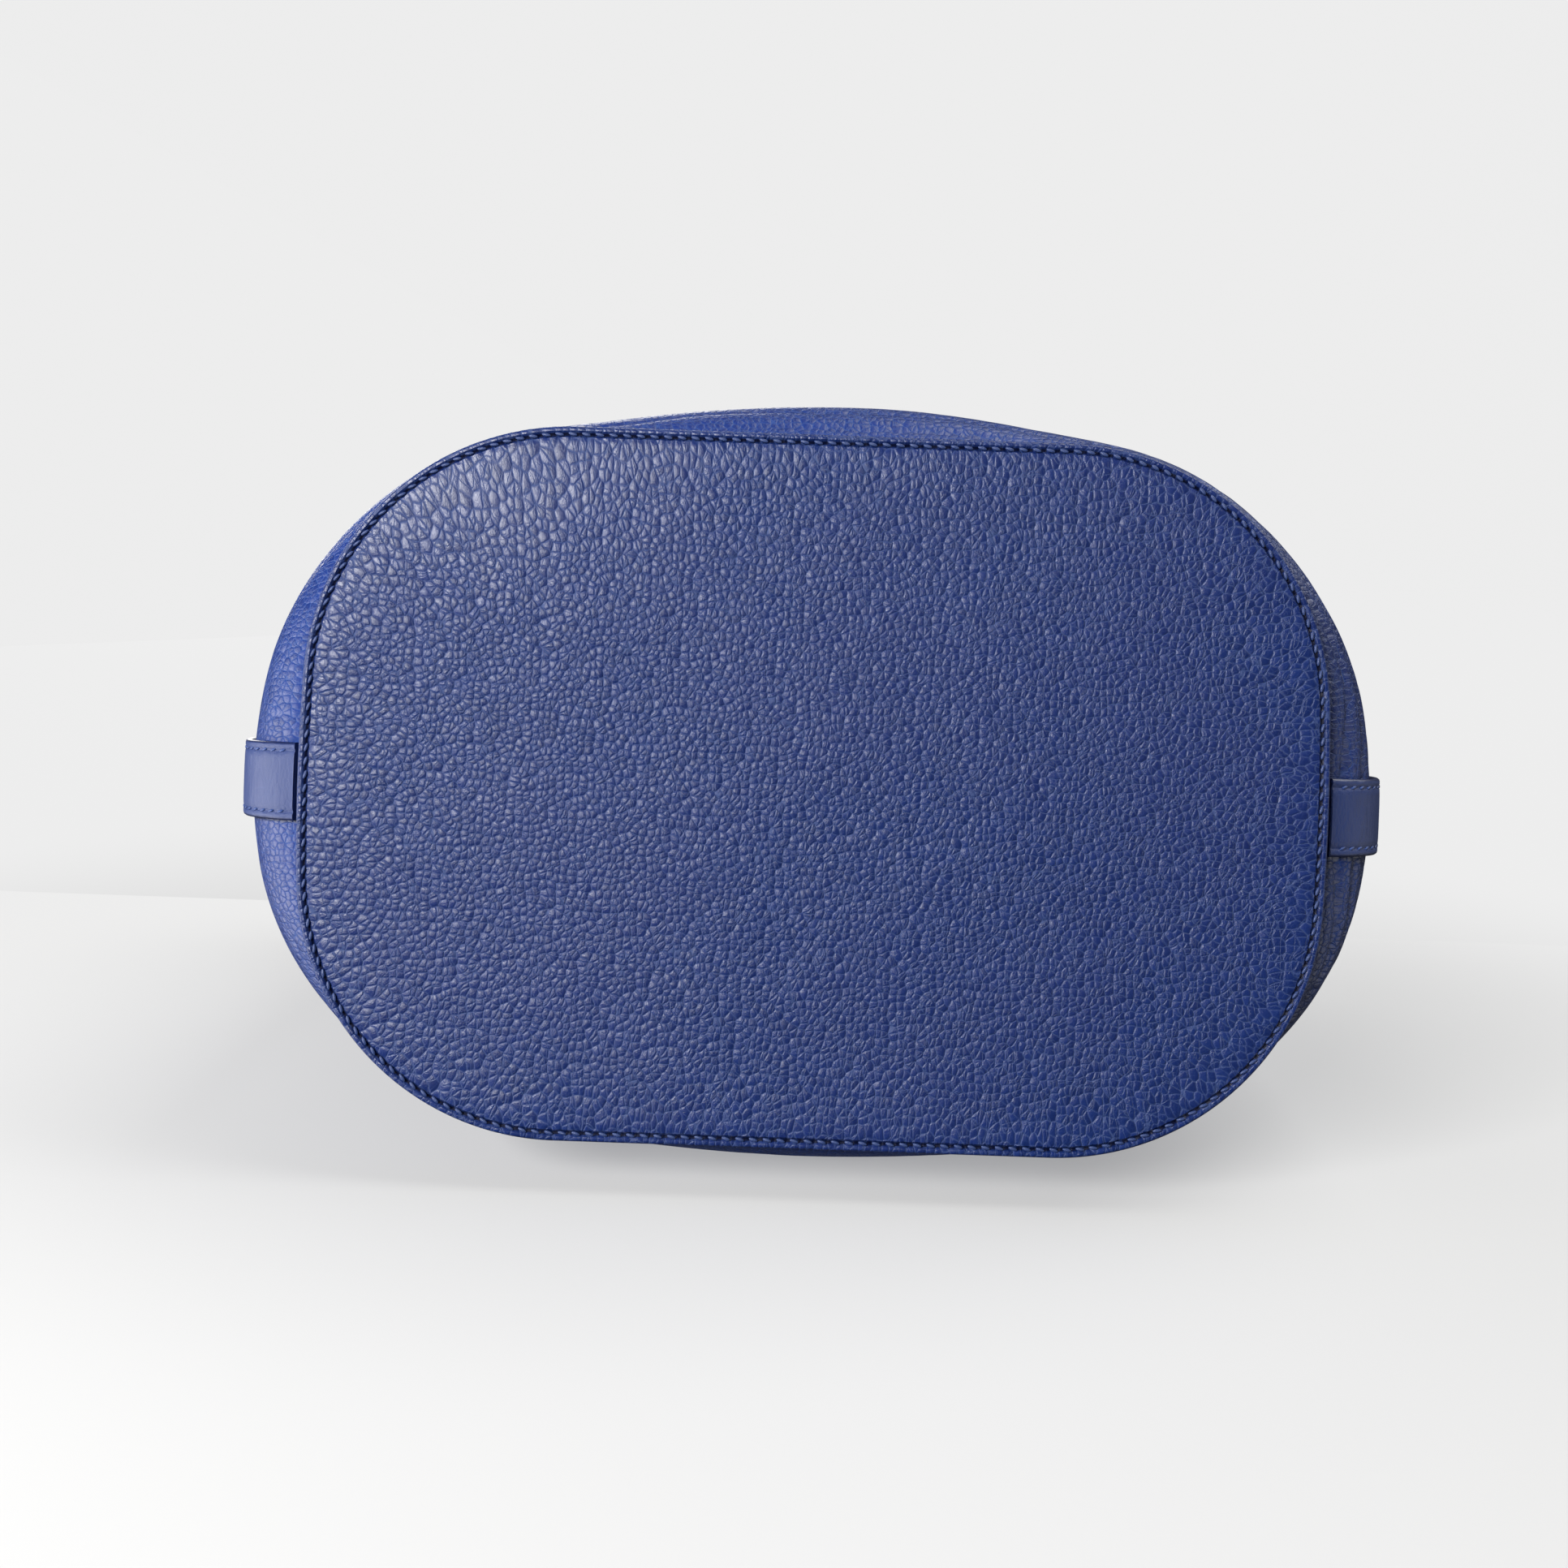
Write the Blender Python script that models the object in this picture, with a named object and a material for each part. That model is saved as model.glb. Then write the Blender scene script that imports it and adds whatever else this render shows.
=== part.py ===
"""A bucket bag in soft grained leather, standing on its oval base.

Units are metres, +Z is up, X runs along the bag's width and -Y is its front. The origin is
the middle of the base's underside. The handle hangs forward from its two rings, leaning at
the stop where the leather loops on each ring meet.
"""

import math

import bmesh
import bpy
from mathutils import Matrix, Vector

# ---- driving dimensions -------------------------------------------------------------
HALF_LENGTH = 0.130  # of the base, along X
HALF_WIDTH = 0.090  # of the base, along Y
END_RADIUS = 0.645  # of the bowed ends of the base
CORNER_RADIUS = 0.067  # of the base's four rounded corners
RIM = 0.290  # height of the bag's mouth

GAP = 0.0003  # between pieces that touch
BASE_LEATHER = 0.0020
BODY_LEATHER = 0.0016
BOARD = 0.0015
LINING = 0.0008
FACING = 0.0012
STRAP = 0.0020  # thickness of the straps and the tab

STRAP_WIDTH = 0.020
LOOP_WIDTH = 0.008  # where a strap narrows to pass round a ring
TAB_WIDTH = 0.034

RING_RADIUS = 0.019  # to the middle of the wire
WIRE_RADIUS = 0.0019
LOOP_RADIUS = 0.00375  # of a strap's middle as it turns round a ring's wire
HANDLE_REACH = 0.190  # from the rings' axis to the middle of the handle
HANDLE_LEAN = math.radians(36)  # between the hanging handle and straight down

# The body's outer surface: height, half width, depth to the front and to the back, and
# how far the section has turned from the base's outline (0) towards an ellipse (1).
BODY_STATIONS = (
    (0.0046, 0.1255, 0.0860, 0.0855, 0.05),
    (0.0080, 0.1345, 0.0915, 0.0900, 0.25),
    (0.0140, 0.1430, 0.0975, 0.0940, 0.45),
    (0.0220, 0.1480, 0.1010, 0.0965, 0.60),
    (0.0400, 0.1525, 0.1030, 0.0965, 0.68),
    (0.0800, 0.1570, 0.1015, 0.0920, 0.72),
    (0.1300, 0.1590, 0.0950, 0.0845, 0.72),
    (0.1900, 0.1575, 0.0835, 0.0745, 0.68),
    (0.2450, 0.1535, 0.0705, 0.0640, 0.68),
    (0.2900, 0.1490, 0.0590, 0.0545, 0.70),
)

FLANGE_FOOT = BASE_LEATHER + GAP
FLANGE_TOP = FLANGE_FOOT + BODY_LEATHER
FLANGE_WIDTH = 0.0044
FACING_HEIGHT = 0.040
PANEL_COLUMNS = 30
RING_COLUMNS = 56

COLOURS = {
    "blue_leather": ((0.045, 0.070, 0.250), 0.55, 0.0),
    "edge_leather": ((0.050, 0.080, 0.270), 0.50, 0.0),
    "board": ((0.300, 0.230, 0.160), 0.90, 0.0),
    "lining": ((0.040, 0.055, 0.170), 0.90, 0.0),
    "metal": ((0.780, 0.770, 0.740), 0.22, 1.0),
}


# ---- tools --------------------------------------------------------------------------
def finish_object(name, bm, colour, smooth_angle=40):
    """Makes the bmesh an object of that name and material, shaded smooth up to an angle."""
    mesh = bpy.data.meshes.new(name)
    bm.normal_update()
    bm.to_mesh(mesh)
    bm.free()
    mesh.shade_smooth()
    mesh.set_sharp_from_angle(angle=math.radians(smooth_angle))
    obj = bpy.data.objects.new(name, mesh)
    bpy.context.scene.collection.objects.link(obj)
    obj.data.materials.append(material(colour))
    return obj


def material(colour):
    found = bpy.data.materials.get(colour)
    if found:
        return found
    made = bpy.data.materials.new(colour)
    made.use_nodes = True
    shader = made.node_tree.nodes["Principled BSDF"]
    rgb, roughness, metallic = COLOURS[colour]
    shader.inputs["Base Color"].default_value = (*rgb, 1)
    shader.inputs["Roughness"].default_value = roughness
    shader.inputs["Metallic"].default_value = metallic
    return made


def swept_solid(name, sections, colour, closed=False):
    """A solid through a row of sections, rings of points bridged each to the next."""
    bm = bmesh.new()
    rings = []
    for section in sections:
        corners = [bm.verts.new(p) for p in section]
        rings.append([bm.edges.new((a, b)) for a, b in zip(corners, corners[1:] + corners[:1])])
    pairs = list(zip(rings, rings[1:]))
    if closed:
        pairs.append((rings[-1], rings[0]))
    for first, second in pairs:
        bmesh.ops.bridge_loops(bm, edges=first + second)
    if not closed:
        bmesh.ops.contextual_create(bm, geom=rings[0])
        bmesh.ops.contextual_create(bm, geom=rings[-1])
    bmesh.ops.recalc_face_normals(bm, faces=bm.faces)
    return finish_object(name, bm, colour)


def sheet(name, rows, thickness, colour, closed=False, bottom=False, outward=Vector((0, -1, 0))):
    """A leather or cloth sheet through rows of points, its thickness added on its inner side.

    closed joins each row's end to its start, bottom fills the first row, and outward is the
    way the sheet's farthest face in that direction points.
    """
    bm = bmesh.new()
    verts = [bm.verts.new(p) for p in rows[0]]
    ends = list(zip(verts, verts[1:] + verts[:1])) if closed else list(zip(verts, verts[1:]))
    edges = [bm.edges.new(pair) for pair in ends]
    if bottom:
        bm.faces.new(verts)
    for row in rows[1:]:
        geom = bmesh.ops.extrude_edge_only(bm, edges=edges)["geom"]
        edges = [e for e in geom if isinstance(e, bmesh.types.BMEdge)]
        made = set(geom)
        verts = [next(e.other_vert(v) for e in v.link_edges if e.other_vert(v) in made)
                 for v in verts]
        for v, p in zip(verts, row):
            v.co = p
    bmesh.ops.recalc_face_normals(bm, faces=bm.faces)
    bm.normal_update()
    seen = max(bm.faces, key=lambda f: f.calc_center_median().dot(outward))
    if seen.normal.dot(outward) < 0:
        bmesh.ops.reverse_faces(bm, faces=bm.faces)
    made = finish_object(name, bm, colour)
    solidify = made.modifiers.new("thickness", "SOLIDIFY")
    solidify.thickness = thickness
    solidify.offset = -1
    return made


def plate(name, outline, foot, thickness, colour, edge=0.0):
    """A flat plate with that outline, its lower and upper edges rounded by edge."""
    bm = bmesh.new()
    face = bm.faces.new([bm.verts.new((x, y, foot)) for x, y in outline])
    made = bmesh.ops.extrude_face_region(bm, geom=[face])["geom"]
    raised = [v for v in made if isinstance(v, bmesh.types.BMVert)]
    bmesh.ops.translate(bm, vec=(0, 0, thickness), verts=raised)
    bmesh.ops.recalc_face_normals(bm, faces=bm.faces)
    if edge:
        rims = [e for e in bm.edges if abs(e.verts[0].co.z - e.verts[1].co.z) < 1e-6]
        bmesh.ops.bevel(bm, geom=rims, offset=edge, segments=2, profile=0.5, affect="EDGES")
    return finish_object(name, bm, colour)


def turned_solid(name, profile, matrix, colour, steps=24):
    """Spins a closed profile of (radius, height) points about Z, then places it."""
    bm = bmesh.new()
    verts = [bm.verts.new((r, 0, h)) for r, h in profile]
    edges = [bm.edges.new(pair) for pair in zip(verts, verts[1:] + verts[:1])]
    bmesh.ops.spin(
        bm, geom=verts + edges, axis=(0, 0, 1), cent=(0, 0, 0),
        angle=math.tau, steps=steps, use_merge=True,
    )
    bmesh.ops.remove_doubles(bm, verts=bm.verts, dist=1e-6)
    bmesh.ops.dissolve_degenerate(bm, edges=bm.edges, dist=1e-6)
    bmesh.ops.recalc_face_normals(bm, faces=bm.faces)
    bmesh.ops.transform(bm, matrix=matrix, verts=bm.verts)
    return finish_object(name, bm, colour)


def cut(obj, cutter):
    """Cuts a hidden helper's shape out of obj."""
    cutter.hide_render = True
    cutter.display_type = "WIRE"
    boolean = obj.modifiers.new("hole", "BOOLEAN")
    boolean.operation = "DIFFERENCE"
    boolean.solver = "EXACT"
    boolean.object = cutter


def unite(obj, other):
    other.hide_render = True
    other.display_type = "WIRE"
    boolean = obj.modifiers.new("joined", "BOOLEAN")
    boolean.operation = "UNION"
    boolean.solver = "EXACT"
    boolean.object = other


def pivot_at(name, place, turn=0.0, parent=None):
    """An empty on the axis that moving pieces turn about, turned about X."""
    pivot = bpy.data.objects.new(name, None)
    bpy.context.scene.collection.objects.link(pivot)
    pivot.location = place
    pivot.rotation_euler = (turn, 0, 0)
    pivot.parent = parent
    return pivot


def smooth_path(points, steps):
    """Points along a Catmull-Rom curve through the given ones, steps to each span."""
    ends = [2 * points[0] - points[1], *points, 2 * points[-1] - points[-2]]
    path = []
    for a, b, c, d in zip(ends, ends[1:], ends[2:], ends[3:]):
        for i in range(steps):
            t = i / steps
            path.append(
                0.5 * (2 * b + (c - a) * t + (2 * a - 5 * b + 4 * c - d) * t**2
                       + (3 * b - a - 3 * c + d) * t**3)
            )
    return path + [points[-1]]


def strap_sections(path, widths, thickness=STRAP):
    """Sections of a strap whose middle runs along path, a row of (across, along) points in
    the XZ plane, and whose width lies along Y. The corners are eased."""
    ease = thickness * 0.25
    sections = []
    for i, (here, width) in enumerate(zip(path, widths)):
        ahead = path[min(i + 1, len(path) - 1)] - path[max(i - 1, 0)]
        normal = Vector((ahead.y, -ahead.x)).normalized()
        half, deep = width / 2, thickness / 2
        corners = (
            (half - ease, deep), (half, deep - ease), (half, ease - deep), (half - ease, -deep),
            (ease - half, -deep), (-half, ease - deep), (-half, deep - ease), (ease - half, deep),
        )
        sections.append(
            [(here.x + normal.x * n, side, here.y + normal.y * n) for side, n in corners]
        )
    return sections


def arc(centre, radius, start, end, steps):
    """Points on an arc, from the angle start to the angle end in degrees."""
    angles = (math.radians(start + (end - start) * i / steps) for i in range(steps + 1))
    return [centre + radius * Vector((math.cos(a), math.sin(a))) for a in angles]


# ---- the bag's own shapes -----------------------------------------------------------
CORNER_TURN = math.asin((HALF_WIDTH - CORNER_RADIUS) / (END_RADIUS - CORNER_RADIUS))
CORNER_X = HALF_LENGTH - END_RADIUS + (END_RADIUS - CORNER_RADIUS) * math.cos(CORNER_TURN)
CORNER_Y = HALF_WIDTH - CORNER_RADIUS


def oval(share, offset=0.0):
    """A point on the base's outline, share of the way round from +X, moved out by offset.

    Each quarter is a bowed end, a tighter corner and half of a straight side.
    """
    lengths = (END_RADIUS * CORNER_TURN, CORNER_RADIUS * (math.pi / 2 - CORNER_TURN), CORNER_X)
    quarter, part = divmod((share % 1) * 4, 1)
    if quarter % 2:
        part = 1 - part
    along = part * sum(lengths)
    if along < lengths[0]:
        turn = along / END_RADIUS
        x = HALF_LENGTH - END_RADIUS + (END_RADIUS + offset) * math.cos(turn)
        y = (END_RADIUS + offset) * math.sin(turn)
    elif along < lengths[0] + lengths[1]:
        turn = CORNER_TURN + (along - lengths[0]) / CORNER_RADIUS
        x = CORNER_X + (CORNER_RADIUS + offset) * math.cos(turn)
        y = CORNER_Y + (CORNER_RADIUS + offset) * math.sin(turn)
    else:
        x = CORNER_X - (along - lengths[0] - lengths[1])
        y = HALF_WIDTH + offset
    return Vector((x if quarter in (0, 3) else -x, y if quarter < 2 else -y))


def station(height):
    """Half width, front depth, back depth and roundness of the body at a height."""
    rows = BODY_STATIONS
    i = max(k for k in range(len(rows) - 1) if k == 0 or rows[k][0] <= height)
    span = rows[i + 1][0] - rows[i][0]
    t = (height - rows[i][0]) / span

    def slope(k, column):
        low, high = rows[max(k - 1, 0)], rows[min(k + 1, len(rows) - 1)]
        return (high[column] - low[column]) / (high[0] - low[0]) * span

    found = []
    for column in range(1, 5):
        a, b = rows[i][column], rows[i + 1][column]
        ma, mb = slope(i, column), slope(i + 1, column)
        found.append(
            (2 * t**3 - 3 * t**2 + 1) * a + (t**3 - 2 * t**2 + t) * ma
            + (3 * t**2 - 2 * t**3) * b + (t**3 - t**2) * mb
        )
    return found


def body(share, height, inset=0.0):
    """A point on the body's outer surface, or inset from it towards the middle."""
    half_width, front, back, roundness = station(height)
    outline = oval(share)
    turn = math.tau * share
    x = (1 - roundness) * outline.x / HALF_LENGTH + roundness * math.cos(turn)
    y = (1 - roundness) * outline.y / HALF_WIDTH + roundness * math.sin(turn)
    depth = front if y < 0 else back
    return Vector(((half_width - inset) * x, (depth - inset) * y, height))


def side_line(height, out):
    """A point in the XZ plane on the bag's right side seam, moved out along the normal."""
    step = 0.0005
    low, high = body(0, height - step), body(0, height + step)
    normal = Vector((high.z - low.z, low.x - high.x)).normalized()
    here = body(0, height)
    return Vector((here.x, here.z)) + out * normal


def front_line(height, out):
    """A point in the YZ plane on the middle of the bag's front, moved out along the normal."""
    step = 0.0005
    low, high = body(0.75, height - step), body(0.75, height + step)
    normal = Vector((low.z - high.z, high.y - low.y)).normalized()
    here = body(0.75, height)
    return Vector((here.y, here.z)) + out * normal


def build_base():
    """The stitched base panel, and the board that keeps it flat inside the bag."""
    shares = [i / RING_COLUMNS for i in range(RING_COLUMNS)]
    plate("base_panel", [oval(s) for s in shares], 0, BASE_LEATHER, "blue_leather", edge=0.0006)
    board_inset = -0.0080
    plate("base_board", [oval(s, board_inset) for s in shares], FLANGE_FOOT, BOARD, "board")


def build_panel(name, first, last):
    """Half of the body. Its lower edge turns outwards as a flange, sewn to the base."""
    columns = [first + (last - first) * i / PANEL_COLUMNS for i in range(PANEL_COLUMNS + 1)]

    def flange_row(offset, height):
        return [Vector((*oval(s, offset), height)) for s in columns]

    rows = [
        flange_row(0, FLANGE_TOP),
        flange_row(-FLANGE_WIDTH / 2, FLANGE_TOP),
        flange_row(-FLANGE_WIDTH, FLANGE_TOP),
        flange_row(-FLANGE_WIDTH - 0.0006, FLANGE_TOP + 0.0004),
    ]
    first_wall_height = 0.0064
    heights = [first_wall_height, 0.0100] + [row[0] for row in BODY_STATIONS[2:]]
    rows += [[body(s, h) for s in columns] for h in heights]
    outward = Vector((0, -1 if first >= 0.5 else 1, 0))
    return sheet(name, rows, BODY_LEATHER, "blue_leather", outward=outward)


def build_inside():
    """The cloth lining, its slip pocket on the back wall, and the leather facing of the mouth."""
    shares = [i / RING_COLUMNS for i in range(RING_COLUMNS)]
    lining_foot = FLANGE_FOOT + BOARD + 2 * GAP
    facing_foot = RIM - FACING_HEIGHT
    rows = [
        [Vector((*oval(s, -0.0140), lining_foot)) for s in shares],
        [Vector((*oval(s, -0.0090), lining_foot + 0.0006)) for s in shares],
    ]
    insets = ((0.0100, 0.0056), (0.0160, 0.0048), (0.0300, 0.0040), (0.0600, 0.0038),
              (0.1100, 0.0036), (0.1700, 0.0036), (0.2250, 0.0036), (facing_foot - GAP, 0.0036))
    rows += [[body(s, h, inset) for s in shares] for h, inset in insets]
    sheet("lining", rows, LINING, "lining", closed=True, bottom=True)

    facing_inset = BODY_LEATHER + 2 * GAP
    rows = [[body(s, h, facing_inset) for s in shares]
            for h in (facing_foot, RIM - FACING_HEIGHT / 2, RIM)]
    facing = sheet("mouth_facing", rows, FACING, "edge_leather", closed=True)

    pocket_inset = insets[-1][1] + LINING + 2 * GAP
    middle, spread, steps = 0.25, 0.085, 10
    columns = [middle + spread * (2 * i / steps - 1) for i in range(steps + 1)]
    rows = [[body(s, h, pocket_inset) for s in columns] for h in (0.115, 0.150, 0.190, 0.230)]
    sheet("slip_pocket", rows, LINING, "lining", outward=Vector((0, 1, 0)))
    return facing


def build_side_straps():
    """A strap up each side seam, from the base, round the ring's wire and down inside."""
    out = GAP + STRAP / 2
    heights = (0.0066, 0.0085, 0.0110, 0.0140, 0.0180, 0.0230, 0.0300, 0.0400, 0.0600, 0.0850,
               0.1150, 0.1500, 0.1900, 0.2300, 0.2600, 0.2750, 0.2840)
    path = [side_line(h, out) for h in heights]
    turn_centre = Vector((ring_plane(), ring_foot()))
    path.append(turn_centre + Vector((LOOP_RADIUS - 0.0004, -0.0040)))
    path += arc(turn_centre, LOOP_RADIUS, 0, 180, 8)
    inner_out = -(BODY_LEATHER + 2 * GAP + FACING + GAP + STRAP / 2 + 0.0008)
    path.append(turn_centre - Vector((LOOP_RADIUS + 0.0006, 0.0045)))
    path += [side_line(h, inner_out) for h in (0.2860, 0.2790, 0.2720)]
    narrow_from, narrow_to = 0.262, 0.286
    widths = []
    passed_top = False
    for p in path:
        passed_top = passed_top or p.y > RIM
        share = 1.0 if passed_top else (p.y - narrow_from) / (narrow_to - narrow_from)
        widths.append(STRAP_WIDTH + (LOOP_WIDTH - STRAP_WIDTH) * min(max(share, 0), 1))
    sections = strap_sections(path, widths)
    swept_solid("right_side_strap", sections, "edge_leather")
    mirrored = [[(-x, y, z) for x, y, z in section] for section in sections]
    swept_solid("left_side_strap", mirrored, "edge_leather")


def ring_plane():
    """How far each ring's plane lies from the middle of the bag, just over the wall."""
    return side_line(RIM, GAP + STRAP / 2).x + 0.0022 - LOOP_RADIUS


def ring_foot():
    """Height of the lowest part of each ring's wire, at its middle."""
    return RIM + 0.0064


def build_rings(pivot):
    """Two round wire rings, one at each end of the mouth, in planes across X."""
    for name, side in (("right_ring", 1), ("left_ring", -1)):
        bm = bmesh.new()
        turn = Matrix.Rotation(math.pi / 2, 4, "Y")
        at = Matrix.Translation((side * ring_plane(), 0, 0))
        wire = Matrix.Translation((RING_RADIUS, 0, 0)) @ Matrix.Rotation(math.pi / 2, 4, "X")
        made = bmesh.ops.create_circle(bm, segments=10, radius=WIRE_RADIUS, matrix=wire)
        geom = made["verts"] + list({e for v in made["verts"] for e in v.link_edges})
        bmesh.ops.spin(
            bm, geom=geom, axis=(0, 0, 1), cent=(0, 0, 0),
            angle=math.tau, steps=32, use_merge=True,
        )
        bmesh.ops.recalc_face_normals(bm, faces=bm.faces)
        bmesh.ops.transform(bm, matrix=at @ turn, verts=bm.verts)
        finish_object(name, bm, "metal").parent = pivot


# Places along the handle's left leg, measured out from the rings' axis.
LEG_END = 0.110
HEEL_BAR = 0.080
FRONT_BAR = 0.100
BAR_RADIUS = 0.0015
HEEL_TURN = BAR_RADIUS + 0.00025 + STRAP / 2  # of the strap's middle round the heel bar
KEEPER_AT = 0.060


def leg_x():
    """How far the handle's legs stand from the middle of the bag."""
    return ring_plane() + LOOP_RADIUS


def ring_loop_path():
    """The end of a strap sewn round a ring: its tail, then the turn round the wire."""
    beside = leg_x() - STRAP - GAP
    tail = [Vector((beside, RING_RADIUS + d)) for d in (0.030, 0.024, 0.018, 0.012)]
    tail.append(Vector((beside - 0.0030, RING_RADIUS + 0.0050)))
    return tail + arc(Vector((ring_plane(), RING_RADIUS - 0.0004)), LOOP_RADIUS, 180, 360, 8)


def leg_widths(path, turned):
    """Narrow on the ring, then full width once the strap is clear of it."""
    narrow_to, wide_from = RING_RADIUS + 0.008, RING_RADIUS + 0.022
    widths = []
    for i, p in enumerate(path):
        share = (p.y - narrow_to) / (wide_from - narrow_to) if i > turned else 0
        widths.append(LOOP_WIDTH + (STRAP_WIDTH - LOOP_WIDTH) * min(max(share, 0), 1))
    return widths


def build_handle(pivot):
    """The two straps of the handle, drawn standing up from the rings' axis."""
    x = leg_x()
    loop = ring_loop_path()
    short = loop + [Vector((x, d)) for d in (0.030, 0.036, 0.042, 0.050, 0.060, 0.070)]
    heel = Vector((x - HEEL_TURN, HEEL_BAR))
    short += arc(heel, HEEL_TURN, 0, 180, 8)
    beside = x - STRAP - GAP
    short += [Vector((beside - 0.0012, HEEL_BAR - 0.0060)), Vector((beside, HEEL_BAR - 0.0100)),
              Vector((beside, HEEL_BAR - 0.0140))]
    sections = strap_sections(short, leg_widths(short, len(loop)))
    mirrored = [[(-a, b, c) for a, b, c in section] for section in sections]
    buckle_strap = swept_solid("handle_buckle_strap", mirrored, "edge_leather")
    buckle_strap.parent = pivot
    prong_slot = box_helper(
        "prong_slot", Vector((-(x - HEEL_TURN), 0, HEEL_BAR + 0.0010)),
        Vector((0.0130, 0.0056, 0.0080)),
    )
    prong_slot.parent = pivot
    cut(buckle_strap, prong_slot)

    outer = x + STRAP + GAP
    under_bar = x - HEEL_TURN - BAR_RADIUS - GAP - STRAP / 2
    over_bar = (
        Vector((outer, 0.048)), Vector((outer, 0.056)), Vector((outer, 0.064)),
        Vector((outer, 0.072)), Vector((outer, HEEL_BAR)), Vector((outer - 0.0024, 0.086)),
        Vector((under_bar + 0.0026, 0.093)), Vector((under_bar, FRONT_BAR)),
        Vector((under_bar + 0.0014, 0.107)), Vector((x - 0.0010, 0.116)),
    )
    steps = 30
    power = 2 / 2.3
    arch = []
    for i in range(1, steps):
        turn = math.pi * i / steps
        across = math.copysign(abs(math.cos(turn)) ** power, math.cos(turn)) * x
        arch.append(Vector((across, LEG_END + (HANDLE_REACH - LEG_END) * math.sin(turn) ** power)))
    right = loop + [Vector((x, d)) for d in (0.030, 0.042, 0.060, 0.085, 0.105)]
    left = [Vector((-p.x, p.y)) for p in reversed(smooth_path(list(over_bar), 2))]
    arch = [p for p in arch if p.x > -x + 0.004 or p.y > 0.122]
    long_path = right + arch + left
    widths = leg_widths(right, len(loop)) + [STRAP_WIDTH] * (len(long_path) - len(right))
    hole_strap = swept_solid("handle_hole_strap", strap_sections(long_path, widths), "edge_leather")
    hole_strap.parent = pivot
    prong_hole = box_helper(
        "prong_hole", Vector((-(x - 0.0015), 0, 0.0885)), Vector((0.0140, 0.0040, 0.0130))
    )
    prong_hole.parent = pivot
    cut(hole_strap, prong_hole)


def box_helper(name, centre, size):
    """A hidden box that cuts a slot."""
    bm = bmesh.new()
    bmesh.ops.create_cube(bm, size=1)
    bmesh.ops.scale(bm, vec=size, verts=bm.verts)
    bmesh.ops.translate(bm, vec=centre, verts=bm.verts)
    return finish_object(name, bm, "metal")


def rounded_rectangle(half_x, half_y, radius, steps=3):
    """Corners of a rectangle with rounded corners, about the origin, anticlockwise."""
    points = []
    for k, (sx, sy) in enumerate(((1, 1), (-1, 1), (-1, -1), (1, -1))):
        centre = Vector((sx * (half_x - radius), sy * (half_y - radius)))
        points += arc(centre, radius, 90 * k, 90 * k + 90, steps)
    return points


def tube_loop(name, points, radius, sides, colour):
    """A closed loop of round wire through points."""
    count = len(points)
    sections = []
    for i, here in enumerate(points):
        ahead = (points[(i + 1) % count] - points[i - 1]).normalized()
        across = ahead.cross(Vector((1, 0, 0))).normalized()
        sections.append(
            [here + radius * (math.cos(t) * Vector((1, 0, 0)) + math.sin(t) * across)
             for t in (math.tau * k / sides for k in range(sides))]
        )
    return swept_solid(name, sections, colour, closed=True)


def build_buckle(pivot):
    """A wire frame, its prong on the heel bar, and the leather keeper beyond it."""
    x = leg_x() - HEEL_TURN
    half_bar = STRAP_WIDTH / 2 + 0.0025
    middle = (HEEL_BAR + FRONT_BAR) / 2
    outline = rounded_rectangle(half_bar, (FRONT_BAR - HEEL_BAR) / 2, 0.0030)
    points = [Vector((-x, p.x, middle + p.y)) for p in outline]
    tube_loop("buckle_frame", points, BAR_RADIUS, 10, "metal").parent = pivot

    sleeve_gap, sleeve_wall, sleeve_half = 0.00025, 0.0009, 0.0019
    inner = BAR_RADIUS + sleeve_gap
    prong_pivot = pivot_at("prong_pivot", (-x, 0, HEEL_BAR), parent=pivot)
    profile = ((inner, -sleeve_half), (inner + sleeve_wall, -sleeve_half),
               (inner + sleeve_wall, sleeve_half), (inner, sleeve_half))
    along_bar = Matrix.Rotation(math.pi / 2, 4, "X")
    prong = turned_solid("buckle_prong", profile, along_bar, "metal", steps=16)
    prong.parent = prong_pivot
    reach = FRONT_BAR - HEEL_BAR
    line = ((0.0000, 0.0022), (0.0004, 0.0060), (0.0010, 0.0120), (0.0022, reach - 0.0030),
            (0.0026, reach), (0.0024, reach + 0.0026))
    rod = []
    for i, (out, along) in enumerate(line):
        half_y = 0.0013 - 0.0001 * i
        half_x = 0.0009
        rod.append([(half_x * math.cos(t) - out, half_y * math.sin(t), along)
                    for t in (math.tau * k / 8 for k in range(8))])
    rod = swept_solid("prong_rod", rod, "metal")
    rod.parent = prong_pivot
    unite(prong, rod)

    low, high = -STRAP / 2 - GAP, STRAP * 1.5 + 2 * GAP
    wall, half_height = 0.0014, 0.0035
    half_y = STRAP_WIDTH / 2 + GAP
    sections = []
    centre = leg_x() + (low + high) / 2
    loops = (rounded_rectangle((high - low) / 2, half_y, 0.0002, 1),
             rounded_rectangle((high - low) / 2 + wall, half_y + wall, 0.0012, 1))
    for inside, outside in zip(*loops):
        sections.append([
            (-(centre + inside.x), inside.y, KEEPER_AT - half_height),
            (-(centre + outside.x), outside.y, KEEPER_AT - half_height),
            (-(centre + outside.x), outside.y, KEEPER_AT + half_height),
            (-(centre + inside.x), inside.y, KEEPER_AT + half_height),
        ])
    swept_solid("handle_keeper", sections, "edge_leather", closed=True).parent = pivot


# The closure: where the tab's magnet sits on the front, and where the tab flexes.
MAGNET_HEIGHT = 0.262
DISC_RADIUS = 0.0080
DISC = 0.0016
TAB_FLEX = Vector((0.0585, 0.2925))


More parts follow.
